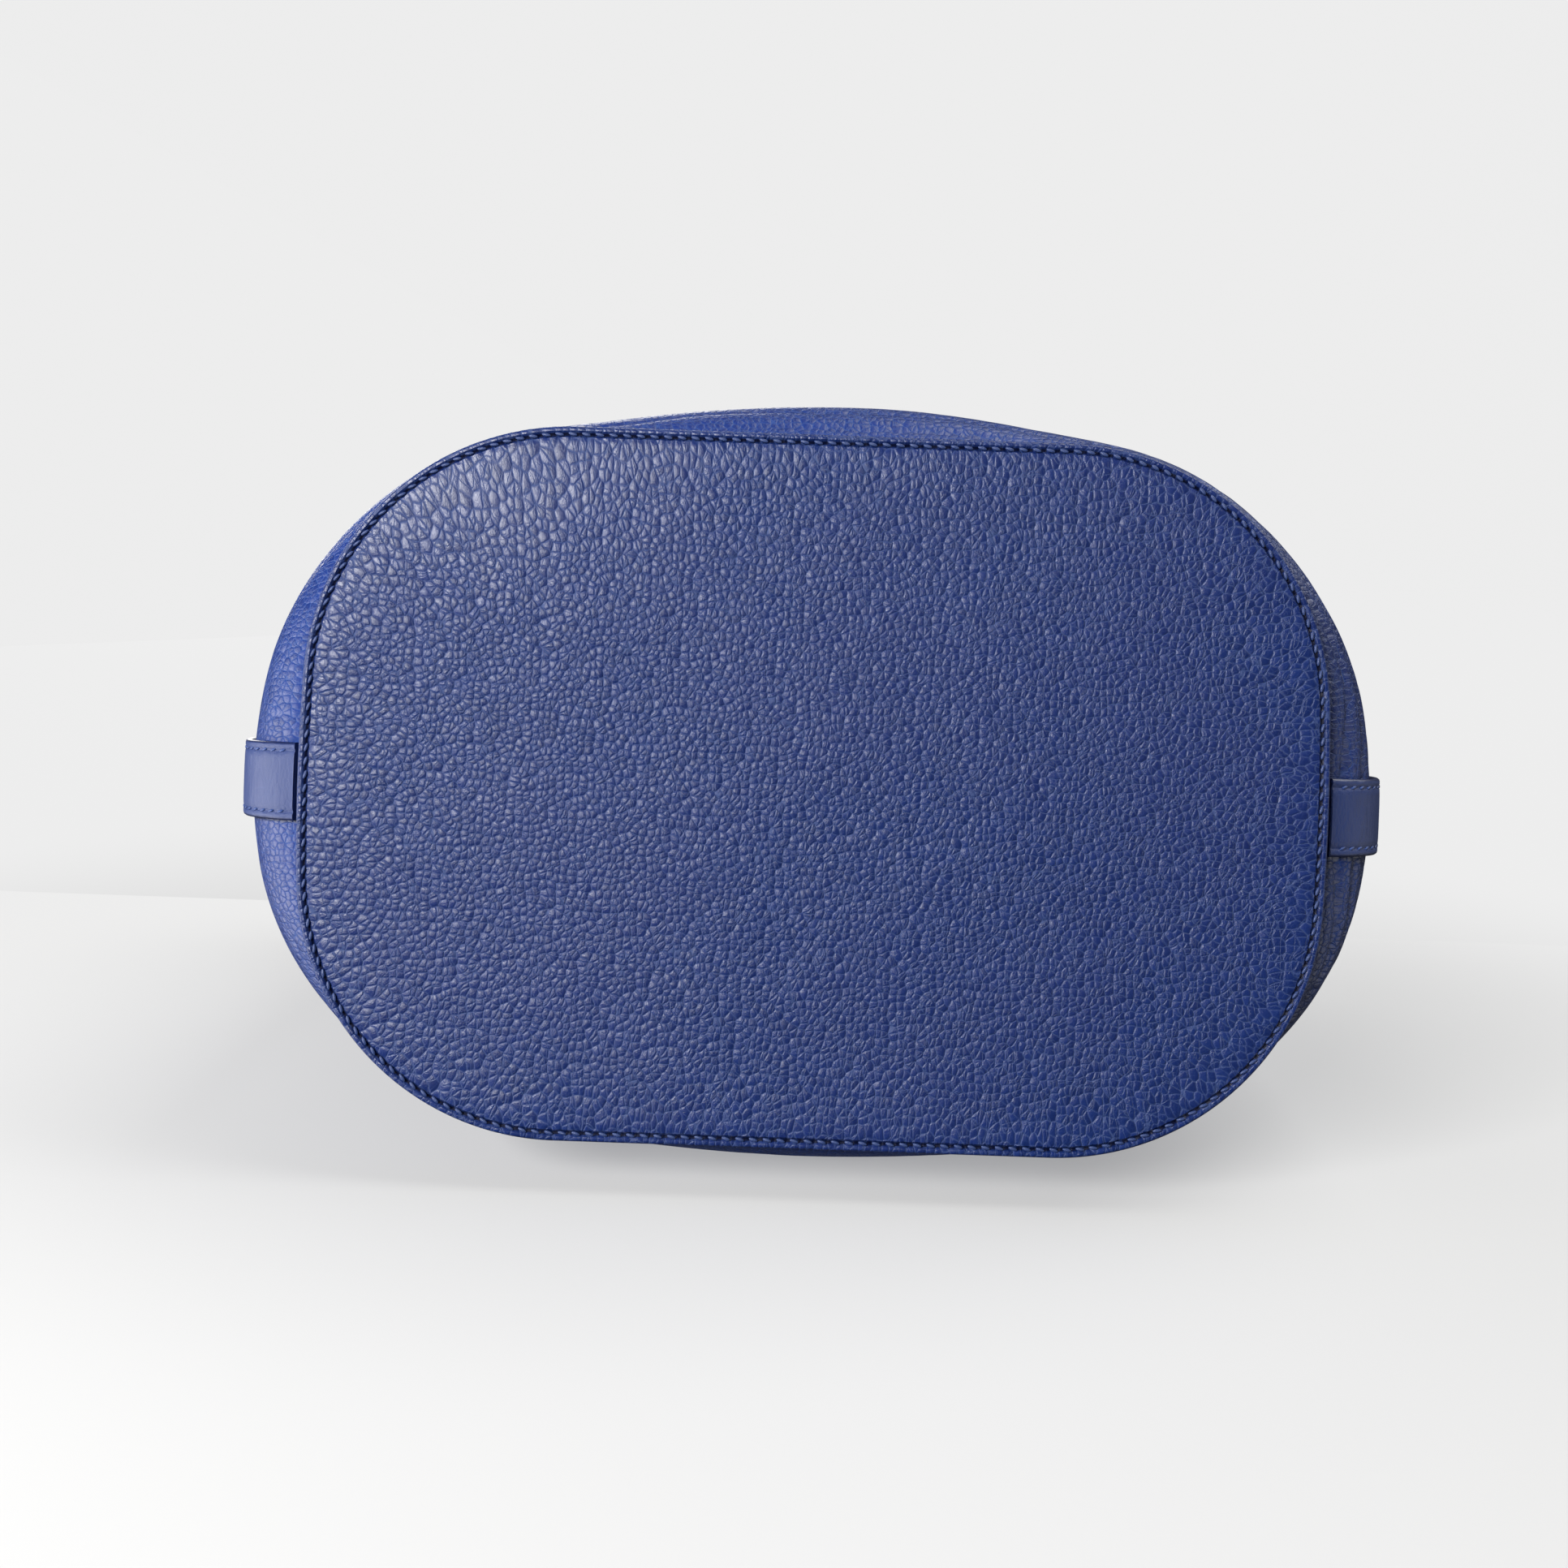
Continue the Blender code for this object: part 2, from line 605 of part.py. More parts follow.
def magnet_place(out):
    """A matrix whose Z axis is the front's normal at the magnet, out from the surface."""
    here = front_line(MAGNET_HEIGHT, out)
    ahead = (front_line(MAGNET_HEIGHT, out + 0.001) - here).normalized()
    tilt = math.atan2(-ahead.x, ahead.y)
    return Matrix.Translation((0, here.x, here.y)) @ Matrix.Rotation(tilt, 4, "X")


def build_closure(front_panel, facing):
    """A tab over the mouth, sewn to the back, and the two halves of its magnet."""
    out = GAP + DISC + GAP + DISC + GAP + STRAP / 2
    drop = [front_line(h, out) for h in (0.2430, 0.2500, 0.2600, 0.2700, 0.2790, 0.2860)]
    over = [Vector((-0.0560, 0.2952)), Vector((-0.0440, 0.2966)), Vector((-0.0200, 0.2964)),
            Vector((0.0100, 0.2958)), Vector((0.0400, 0.2950)), TAB_FLEX + Vector((-0.0016, 0.0016))]
    path = drop + over
    widths = [TAB_WIDTH * w for w in (0.55, 0.85, 1.0)] + [TAB_WIDTH] * (len(path) - 3)
    turn = Matrix.Rotation(math.pi / 2, 4, "Z")
    sections = [[turn @ Vector(p) for p in section] for section in strap_sections(path, widths)]
    tab = swept_solid("closure_tab", sections, "edge_leather")

    back = body(0.25, RIM).y
    anchor = [TAB_FLEX + Vector((0.0002, 0.0006)), Vector((back + 0.0044, 0.2895))]
    for h in (0.2830, 0.2740, 0.2620, 0.2520):
        here = body(0.25, h)
        anchor.append(Vector((here.y + GAP + STRAP / 2 + 0.0004, h)))
    anchor_widths = [TAB_WIDTH] * len(anchor)
    sections = [[turn @ Vector(p) for p in s] for s in strap_sections(anchor, anchor_widths)]
    swept_solid("tab_anchor", sections, "edge_leather")

    post, hole = 0.0018, 0.0021
    surface = GAP
    magnet_profile = (
        (0, surface), (0, surface + DISC), (DISC_RADIUS - 0.0004, surface + DISC),
        (DISC_RADIUS, surface + DISC - 0.0004), (DISC_RADIUS, surface), (post, surface),
        (post, -0.0050), (0, -0.0050),
    )
    turned_solid("magnet", magnet_profile, magnet_place(0), "metal")
    inner_face = BODY_LEATHER + 2 * GAP + FACING + 0.0007
    washer_profile = ((hole, -inner_face - 0.0008), (DISC_RADIUS - 0.001, -inner_face - 0.0008),
                      (DISC_RADIUS - 0.001, -inner_face), (hole, -inner_face))
    turned_solid("magnet_washer", washer_profile, magnet_place(0), "metal")
    through = ((0, -0.0070), (hole, -0.0070), (hole, 0.0020), (0, 0.0020))
    for obj in (front_panel, facing):
        cut(obj, turned_solid(f"{obj.name}_hole", through, magnet_place(0), "metal", steps=16))

    keeper_foot = GAP + DISC + GAP
    plate_profile = ((hole, keeper_foot), (DISC_RADIUS, keeper_foot),
                     (DISC_RADIUS, keeper_foot + DISC), (hole, keeper_foot + DISC))
    plate = turned_solid("tab_plate", plate_profile, magnet_place(0), "metal")
    leather_foot = keeper_foot + DISC + GAP
    cap_foot = leather_foot + STRAP + GAP
    cap_profile = (
        (0, keeper_foot + 0.0002), (post, keeper_foot + 0.0002), (post, cap_foot),
        (DISC_RADIUS, cap_foot), (DISC_RADIUS, cap_foot + 0.0006),
        (DISC_RADIUS * 0.8, cap_foot + 0.0013), (DISC_RADIUS * 0.4, cap_foot + 0.0018),
        (0, cap_foot + 0.0020),
    )
    cap = turned_solid("tab_cap", cap_profile, magnet_place(0), "metal")
    tab_hole = ((0, leather_foot - 0.001), (hole, leather_foot - 0.001),
                (hole, cap_foot + 0.001), (0, cap_foot + 0.001))
    cut(tab, turned_solid("tab_hole", tab_hole, magnet_place(0), "metal", steps=16))
    flex = pivot_at("tab_pivot", (0, *TAB_FLEX))
    for obj in (tab, plate, cap):
        obj.parent = flex
        obj.matrix_parent_inverse = Matrix.Translation(flex.location).inverted()


def main():
    for obj in list(bpy.data.objects):
        bpy.data.objects.remove(obj)
    seam_gap = 0.0008  # of the way round, so the two panels just clear each other at the seams
    build_base()
    build_panel("back_panel", seam_gap, 0.5 - seam_gap)
    front_panel = build_panel("front_panel", 0.5 + seam_gap, 1 - seam_gap)
    facing = build_inside()
    build_side_straps()
    build_closure(front_panel, facing)

    rings_axis = (0, 0, ring_foot() + RING_RADIUS)
    pivot = pivot_at("handle_pivot", rings_axis, turn=math.pi - HANDLE_LEAN)
    build_rings(pivot)
    build_handle(pivot)
    build_buckle(pivot)


main()
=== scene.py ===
"""A bucket bag in blue grained leather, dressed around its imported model."""

import math

import bmesh
import bpy
from mathutils import Matrix, Vector, noise


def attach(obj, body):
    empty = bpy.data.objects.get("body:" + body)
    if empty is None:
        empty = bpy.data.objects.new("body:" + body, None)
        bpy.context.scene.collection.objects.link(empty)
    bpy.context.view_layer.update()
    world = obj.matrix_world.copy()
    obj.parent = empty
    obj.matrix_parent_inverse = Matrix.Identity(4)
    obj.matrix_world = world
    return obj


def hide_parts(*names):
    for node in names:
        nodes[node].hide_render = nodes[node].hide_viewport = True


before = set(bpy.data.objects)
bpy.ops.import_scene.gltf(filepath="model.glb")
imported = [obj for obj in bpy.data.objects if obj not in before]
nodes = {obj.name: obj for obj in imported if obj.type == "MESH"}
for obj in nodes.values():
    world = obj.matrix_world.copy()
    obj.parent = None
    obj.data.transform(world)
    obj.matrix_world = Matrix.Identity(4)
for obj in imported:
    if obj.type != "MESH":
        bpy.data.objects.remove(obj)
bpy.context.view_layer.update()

# ---- base panel ---------------------------------------------------------------------
# The bag stands on a thick oblong of pebbled calf leather, sewn on from below. The leather
# is pulled down into the line of stitches and swells between them, and its grain is drawn
# out towards the seam. The cut edge is painted and polished round.
half_length, half_width = 0.130, 0.090
end_radius, corner_radius = 0.645, 0.067
base_thickness = 0.0020
stitch_inset = 0.0021
stitch_count = 222

corner_turn = math.asin((half_width - corner_radius) / (end_radius - corner_radius))
corner_x = half_length - end_radius + (end_radius - corner_radius) * math.cos(corner_turn)
corner_y = half_width - corner_radius
quarter_lengths = (end_radius * corner_turn, corner_radius * (math.pi / 2 - corner_turn), corner_x)


def oval(share, offset=0.0):
    """A point on the base's outline, share of the way round from +X, moved out by offset."""
    quarter, part = divmod((share % 1) * 4, 1)
    if quarter % 2:
        part = 1 - part
    along = part * sum(quarter_lengths)
    if along < quarter_lengths[0]:
        turn = along / end_radius
        x = half_length - end_radius + (end_radius + offset) * math.cos(turn)
        y = (end_radius + offset) * math.sin(turn)
    elif along < quarter_lengths[0] + quarter_lengths[1]:
        turn = corner_turn + (along - quarter_lengths[0]) / corner_radius
        x = corner_x + (corner_radius + offset) * math.cos(turn)
        y = corner_y + (corner_radius + offset) * math.sin(turn)
    else:
        x = corner_x - (along - quarter_lengths[0] - quarter_lengths[1])
        y = half_width + offset
    return Vector((x if quarter in (0, 3) else -x, y if quarter < 2 else -y))


def ramp(at, start, length):
    """Rises from 0 at start to 1 a length further on. A length below 0 makes it fall."""
    return min(max((at - start) / length, 0), 1)


def follow(stops, at):
    """The value at a place along (place, value) stops, eased between them."""
    if at <= stops[0][0]:
        return stops[0][1]
    for (a, low), (b, high) in zip(stops, stops[1:]):
        if at <= b:
            t = (at - a) / (b - a)
            return low + (high - low) * t * t * (3 - 2 * t)
    return stops[-1][1]


def flat_sheet(columns, rows, place, joined=False, mark=None, marked="pull"):
    """A grid bent into shape: place(u, v) gives each corner's point and its place on the hide,
    both in metres. mark(u, v) is kept under a name for the leather's finish to read."""
    bm = bmesh.new()
    bmesh.ops.create_grid(bm, x_segments=columns, y_segments=rows, size=0.5)
    hide = bm.loops.layers.uv.new("hide")
    drawn = bm.verts.layers.float.new(marked)
    spots = {}
    for v in bm.verts:
        share = (v.co.x + 0.5, v.co.y + 0.5)
        v.co, spots[v] = place(*share)
        v[drawn] = mark(*share) if mark else 0.0
    for face in bm.faces:
        for loop in face.loops:
            loop[hide].uv = spots[loop.vert]
    if joined:
        bmesh.ops.remove_doubles(bm, verts=bm.verts, dist=1e-6)
    return bm


def add_piece(name, bm, finish, body, stands_for=(), sharp=35):
    """Makes the bmesh a smooth-shaded piece that moves with a body."""
    mesh = bpy.data.meshes.new(name)
    bm.to_mesh(mesh)
    bm.free()
    mesh.shade_smooth()
    mesh.set_sharp_from_angle(angle=math.radians(sharp))
    piece = bpy.data.objects.new(name, mesh)
    bpy.context.scene.collection.objects.link(piece)
    mesh.materials.append(finish)
    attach(piece, body)
    if stands_for:
        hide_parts(*stands_for)
    return piece


class Recipe:
    """A material's nodes, added one after another."""

    def __init__(self, name):
        self.material = bpy.data.materials.new(name)
        self.material.use_nodes = True
        self.tree = self.material.node_tree
        self.shader = self.tree.nodes["Principled BSDF"]

    def add(self, kind, inputs=None, out=0, **settings):
        node = self.tree.nodes.new(kind)
        for name, value in settings.items():
            setattr(node, name, value)
        for name, value in (inputs or {}).items():
            self.feed(node.inputs[name], value)
        return node.outputs[out]

    def feed(self, socket, value):
        if isinstance(value, bpy.types.NodeSocket):
            self.tree.links.new(value, socket)
        else:
            socket.default_value = value

    def math(self, operation, a, b=0.0, c=0.0):
        return self.add("ShaderNodeMath", {0: a, 1: b, 2: c}, operation=operation)

    def ease(self, value, low, high, to_low=0.0, to_high=1.0):
        """Smoothly takes low..high to to_low..to_high."""
        inputs = {"Value": value, "From Min": low, "From Max": high,
                  "To Min": to_low, "To Max": to_high}
        return self.add("ShaderNodeMapRange", inputs, interpolation_type="SMOOTHSTEP")

    def near(self, value, reach):
        """1 where the value is 0, and 0 from reach on."""
        return self.ease(value, 0.0, reach, 1.0, 0.0)

    def total(self, first, *layers):
        """Adds (layer, weight) pairs to the first value."""
        for layer, weight in layers:
            first = self.math("MULTIPLY_ADD", layer, weight, first)
        return first

    def blend(self, share, a, b):
        node = self.tree.nodes.new("ShaderNodeMix")
        node.data_type = "RGBA"
        for index, value in ((0, share), (6, a), (7, b)):
            self.feed(node.inputs[index], value)
        return node.outputs[2]

    def noise(self, where, scale, detail=2.0, roughness=0.5, out=0):
        return self.add("ShaderNodeTexNoise", {"Vector": where, "Scale": scale,
                        "Detail": detail, "Roughness": roughness}, out=out)

    def cells(self, where, scale, feature="DISTANCE_TO_EDGE", out=0, randomness=1.0):
        return self.add("ShaderNodeTexVoronoi", {"Vector": where, "Scale": scale,
                        "Randomness": randomness}, out=out, feature=feature,
                        voronoi_dimensions="2D")

    def wander(self, where, scale, reach):
        """Shifts places about by a slow noise, so no line runs straight."""
        drift = self.noise(where, scale, 1.0, out=1)
        centred = self.add("ShaderNodeVectorMath", {0: drift, 1: (0.5, 0.5, 0.5)},
                           operation="SUBTRACT")
        scaled = self.add("ShaderNodeVectorMath", {0: centred, "Scale": reach * 2},
                          operation="SCALE")
        return self.add("ShaderNodeVectorMath", {0: where, 1: scaled})

    def dress(self, colour, roughness, height=None, strength=1.0, **constants):
        """Feeds the shader. height is in metres, and each constant is set on its socket."""
        self.feed(self.shader.inputs["Base Color"], colour)
        self.feed(self.shader.inputs["Roughness"], roughness)
        for name, value in constants.items():
            self.shader.inputs[name.replace("_", " ")].default_value = value
        if height is not None:
            bump = self.add("ShaderNodeBump", {"Height": height, "Distance": 1.0,
                            "Strength": strength})
            self.feed(self.shader.inputs["Normal"], bump)
        return self.material


def shaded(colour, red, green, blue):
    """A colour with each of its parts made stronger or weaker."""
    return (colour[0] * red, colour[1] * green, colour[2] * blue, 1)


def grained_leather(name, colour, grain=0.00178, depth=0.00029, gloss=0.25):
    """Pebbled calf: dark rounded pebbles in a paler net of creases, with longer creases and
    wrinkles across them. The paler net and the pebbles' lighter rims are painted highlight,
    where their slopes would catch the light, and the needle holes are painted dark as their
    shade. Where the hide is pulled, the pebbles lie flatter."""
    r = Recipe(name)
    hide = r.add("ShaderNodeUVMap", uv_map="hide")
    pull = r.add("ShaderNodeAttribute", attribute_name="pull", out=2)
    needle_hole_shade = r.ease(pull, 1.1, 1.9)
    pulled = r.math("MINIMUM", pull, 1.0)
    loose = r.wander(r.wander(hide, 75, 0.0012), 620, 0.00030)
    dome = r.cells(loose, 1 / grain, "SMOOTH_F1", randomness=0.9)
    edge = r.cells(loose, 1 / grain, randomness=0.9)
    crossing = 0.0
    for turn in (0.6, -0.7):
        drawn = r.add("ShaderNodeMapping", {"Vector": loose, "Rotation": (0, 0, turn),
                                            "Scale": (1.0, 0.50, 1.0)})
        level = r.math("SUBTRACT", r.noise(drawn, 0.50 / grain, 0.0), 0.5)
        crossing = r.math("MAXIMUM", crossing, r.near(r.math("ABSOLUTE", level), 0.015))
    small_edge = r.cells(r.wander(loose, 900, 0.00030), 1.9 / grain)
    patch = r.ease(r.noise(hide, 170, 3), 0.36, 0.62, 0.25, 1.0)
    fade = r.ease(r.noise(loose, 360, 2), 0.36, 0.60, 0.35, 1.0)
    top = r.math("SUBTRACT", 1.0, r.math("POWER", r.math("MULTIPLY", dome, 1.35), 2.0))
    bank = r.near(edge, 0.22)
    valley = r.math("MULTIPLY", r.near(edge, 0.10), fade)
    small_valley = r.math("MULTIPLY", r.near(small_edge, 0.13), patch)
    wrinkle = r.near(r.cells(r.wander(loose, 1500, 0.00022), 3.8 / grain), 0.22)
    pores = r.noise(hide, 5200, 3, 0.65)
    swell = r.noise(hide, 34, 2)

    height = r.total(0.0, (bank, -0.26), (top, 0.80), (valley, -0.28), (crossing, -0.20),
                     (small_valley, -0.12), (wrinkle, -0.05), (pores, 0.12))
    flat = r.total(1.0, (pulled, -0.56))
    height = r.math("MULTIPLY", r.math("MULTIPLY", height, depth), flat)
    height = r.total(height, (swell, 0.0007))

    pebble = r.cells(loose, 1 / grain, "F1", out=1, randomness=0.9)
    tint = r.add("ShaderNodeSeparateColor", {"Color": pebble})
    base = r.blend(tint, shaded(colour, 0.34, 0.62, 0.76), shaded(colour, 0.80, 1.02, 1.08))
    mottle = r.ease(r.noise(hide, 16, 3), 0.32, 0.68)
    base = r.blend(r.math("MULTIPLY", mottle, 0.5), base, shaded(colour, 1.45, 0.94, 0.94))
    # Lighter pebble rims are painted highlight, for light caught where each pebble slopes into its
    # crease.
    base = r.blend(r.math("MULTIPLY", bank, 0.40), base, shaded(colour, 1.9, 1.7, 1.3))
    # The paler net of creases and wrinkles is painted highlight: colour standing for light caught
    # on the crease slopes.
    crease_highlight = r.math("MULTIPLY", small_valley, 0.25)
    for crease in (valley, crossing):
        crease_highlight = r.math("MAXIMUM", crease_highlight, r.math("MULTIPLY", crease, 0.55))
    base = r.blend(r.total(crease_highlight, (wrinkle, 0.09)), base, shaded(colour, 3.8, 2.8, 1.50))
    # Needle holes are painted dark: painted shade for the insides of the holes.
    base = r.blend(needle_hole_shade, base, shaded(colour, 0.18, 0.18, 0.22))
    worn = r.math("MAXIMUM", valley, crossing)
    rough = r.total(gloss, (bank, 0.10), (worn, 0.30), (pores, 0.16))
    return r.dress(base, rough, height, IOR=1.5)


blue = (0.0070, 0.0205, 0.118)
base_leather = grained_leather("base leather", blue)

crown = (  # distance in from the edge, and height of the panel's outer side above the ground
    (0.0000, 0.00115), (0.0003, 0.00062), (0.0007, 0.00040), (0.0012, 0.00042),
    (0.0015, 0.00066), (0.0021, 0.00130), (0.0026, 0.00095), (0.0031, 0.00034),
    (0.0040, 0.00004), (0.0060, 0.00000), (0.0120, 0.00006), (0.0300, 0.00022),
    (0.0650, 0.00030),
)
ring_places = (0.0, 0.0003, 0.0006, 0.0009, 0.0012, 0.0015, 0.0018, 0.0021, 0.0024, 0.0027,
               0.0030, 0.0034, 0.0039, 0.0046, 0.0055, 0.0066, 0.0080, 0.0100, 0.0125, 0.0155,
               0.0190, 0.0230, 0.0275, 0.0325, 0.0380, 0.0440, 0.0500, 0.0560, 0.0610)
inner_rings = 10


def pulled_corner(spot):
    """How near a place is to the left front corner, where the hide is pulled hardest."""
    return math.exp(-((spot.x + 0.080) / 0.050) ** 2 - ((spot.y + 0.085) / 0.035) ** 2)


def base_ring(row):
    """How far in from the edge a row of corners lies, and how much it is scaled down past the
    last of those rings."""
    index = round(row * (len(ring_places) + inner_rings - 1))
    inset = ring_places[min(index, len(ring_places) - 1)]
    return inset, 1 - max(index - len(ring_places) + 1, 0) / inner_rings


def past_holes(share):
    """0 at each needle's hole, and 1 halfway to the next."""
    return abs(math.sin(math.pi * share * stitch_count))


def base_place(share, row):
    """Rows run from the panel's edge to its middle."""
    inset, scale = base_ring(row)
    spot = oval(share, -inset) * scale
    corner = pulled_corner(spot)
    reach = 0.015 + 0.012 * corner
    drawn = oval(share, -inset - (0.52 + 0.16 * corner) * reach * math.exp(-inset / reach)) * scale
    z = follow(crown, inset)
    z -= 0.00030 * past_holes(share) * math.exp(-((inset - 0.0029) / 0.0006) ** 2)
    z += 0.00025 * noise.noise(Vector((spot.x * 22, spot.y * 22, 3.0))) * min(inset / 0.010, 1)
    z = max(z, 0.0) if inset > 0.002 else z
    return Vector((spot.x, spot.y, z)), drawn


def base_pull(share, row):
    """The grain is flattest near the corner where it is drawn out most. Beyond 1 is a needle's
    hole, which the leather paints dark as the hole's shade."""
    inset, _ = base_ring(row)
    corner = pulled_corner(oval(share))
    reach = 0.008 + 0.022 * corner
    if abs(inset - stitch_inset) < 0.0005 and past_holes(share) > 0.8:
        return 2.0
    return min(1.0, (0.5 + 0.5 * corner) * math.exp(-((inset / reach) ** 2)))


def open_edges(bm):
    return [edge for edge in bm.edges if edge.is_boundary]


bm = flat_sheet(stitch_count * 6, len(ring_places) + inner_rings - 1, base_place,
                joined=True, mark=base_pull)
for scale_x, scale_y, z in ((1, 1, base_thickness - 0.0004), (0.9965, 0.995, base_thickness)):
    for v in bmesh.ops.extrude_edge_only(bm, edges=open_edges(bm))["geom"]:
        if isinstance(v, bmesh.types.BMVert):
            v.co = Vector((v.co.x * scale_x, v.co.y * scale_y, z))
bmesh.ops.contextual_create(bm, geom=open_edges(bm))
bmesh.ops.recalc_face_normals(bm, faces=bm.faces)
add_piece("base_panel_leather", bm, base_leather, "bag", ["base_panel"])

# ---- base seam ----------------------------------------------------------------------
# Thick waxed thread is saddle-stitched by hand through the base panel and the flange of the
# body panels. Each stitch lies at a slant and fills its length between two holes.
thread_length, thread_width, thread_height = 0.0024, 0.00092, 0.00078
slant = math.radians(17)


def waxed_thread(name, colour):
    """Polyester thread: tight twisted plies with a slight gloss."""
    r = Recipe(name)
    where = r.add("ShaderNodeTexCoord", out=3)
    fibre = r.noise(r.wander(where, 900, 0.0004), 3800, 3, 0.6)
    worn = r.noise(where, 140, 2)
    base = r.blend(fibre, shaded(colour, 0.55, 0.55, 0.65), shaded(colour, 1.6, 1.5, 1.3))
    rough = r.total(0.30, (worn, 0.25))
    return r.dress(base, rough, r.math("MULTIPLY", fibre, 0.00010), IOR=1.5)


thread = waxed_thread("blue thread", (0.026, 0.050, 0.165))


def stitch(middle, along, across, scale=1.0, slanted=slant):
    """Where one thread lies: along the seam, turned slightly across it."""
    out = along.cross(across).normalized()
    ahead = (along.normalized() * math.cos(slanted) + across.normalized() * math.sin(slanted))
    beside = out.cross(ahead)
    sizes = (thread_height / 2 * scale, thread_width / 2 * scale, thread_length / 2 * scale)
    axes = [axis * size for axis, size in zip((out, beside, ahead), sizes)]
    return Matrix([(*(axis[k] for axis in axes), middle[k]) for k in range(3)] + [(0, 0, 0, 1)])


def gather(bm, more):
    """Moves one bmesh's shape into another."""
    mesh = bpy.data.meshes.new("moved")
    more.to_mesh(mesh)
    more.free()
    bm.from_mesh(mesh)
    bpy.data.meshes.remove(mesh)


def add_stitches(name, places, body):
    """A seam's threads as one piece, sewn a dozen at a time."""
    bm = bmesh.new()
    for first in range(0, len(places), 12):
        few = bmesh.new()
        for place in places[first:first + 12]:
            bmesh.ops.create_uvsphere(few, u_segments=8, v_segments=5, radius=1.0, matrix=place)
        gather(bm, few)
    bmesh.ops.recalc_face_normals(bm, faces=bm.faces)
    return add_piece(name, bm, thread, body, sharp=180)


places = []
for k in range(stitch_count):
    share = k / stitch_count
    here = oval(share, -stitch_inset)
    ahead = oval(share + 0.0005, -stitch_inset) - oval(share - 0.0005, -stitch_inset)
    along = Vector((*ahead, 0)).normalized()
    places.append(stitch(Vector((*here, 0.00050)), along, Vector((-along.y, along.x, 0))))
add_stitches("base_stitches", places, "bag")

# ---- base board ---------------------------------------------------------------------
# A grey board of pressed fibres lies on the base, between it and the lining, and keeps
# it flat. It shows nowhere once the lining is in.
r = Recipe("fibre board")
where = r.add("ShaderNodeTexCoord", out=3)
flecks = r.noise(r.wander(where, 200, 0.002), 900, 4, 0.7)
pulp = r.blend(flecks, (0.20, 0.15, 0.10, 1), (0.42, 0.34, 0.25, 1))
fibre_board = r.dress(pulp, r.total(0.8, (flecks, 0.15)), r.math("MULTIPLY", flecks, 0.0002))


def refinish(node, finish):
    """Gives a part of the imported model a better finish."""
    for part_slot in nodes[node].material_slots:
        part_slot.material = finish


refinish("base_board", fibre_board)

# ---- front and back panels ----------------------------------------------------------
# Two pieces of soft grained leather meet at the sides, under the straps. Their lower edges
# turn out as a flange sewn to the base, and the leather bulges over it, creased along the
# seam where it folds.
panel_thickness = 0.0016
mouth_height = 0.290
flange_top = 0.0039
flange_width = 0.0044
seam_gap = 0.0008
stations = (  # height, half width, depth to the front, depth to the back, roundness
    (0.0046, 0.1255, 0.0860, 0.0855, 0.05), (0.0080, 0.1345, 0.0915, 0.0900, 0.25),
    (0.0140, 0.1430, 0.0975, 0.0940, 0.45), (0.0220, 0.1480, 0.1010, 0.0965, 0.60),
    (0.0400, 0.1525, 0.1030, 0.0965, 0.68), (0.0800, 0.1570, 0.1015, 0.0920, 0.72),
    (0.1300, 0.1590, 0.0950, 0.0845, 0.72), (0.1900, 0.1575, 0.0835, 0.0745, 0.68),
    (0.2450, 0.1535, 0.0705, 0.0640, 0.68), (0.2900, 0.1490, 0.0590, 0.0545, 0.70),
)


def station(height):
    """Half width, depth to the front and back, and roundness of the bag at a height."""
    k = max(n for n in range(len(stations) - 1) if n == 0 or stations[n][0] <= height)
    span = stations[k + 1][0] - stations[k][0]
    t = (height - stations[k][0]) / span

    def rate(n, column):
        low, high = stations[max(n - 1, 0)], stations[min(n + 1, len(stations) - 1)]
        return (high[column] - low[column]) / (high[0] - low[0]) * span

    found = []
    for column in range(1, 5):
        a, b = stations[k][column], stations[k + 1][column]
        found.append((2 * t**3 - 3 * t**2 + 1) * a + (t**3 - 2 * t**2 + t) * rate(k, column)
                     + (3 * t**2 - 2 * t**3) * b + (t**3 - t**2) * rate(k + 1, column))
    return found


def wall(share, height, inset=0.0):
    """A point on the bag's outside, or inset from it towards the middle."""
    half, front, back, roundness = station(height)
    outline = oval(share)
    turn = math.tau * share
    x = (1 - roundness) * outline.x / half_length + roundness * math.cos(turn)
    y = (1 - roundness) * outline.y / half_width + roundness * math.sin(turn)
    return Vector(((half - inset) * x, ((front if y < 0 else back) - inset) * y, height))


def outwards(share, height):
    """The level direction out from the wall."""
    along = wall(share + 0.002, height) - wall(share - 0.002, height)
    return Vector((along.y, -along.x, 0)).normalized()


def bell(at, middle, spread):
    return math.exp(-((at - middle) / spread) ** 2)


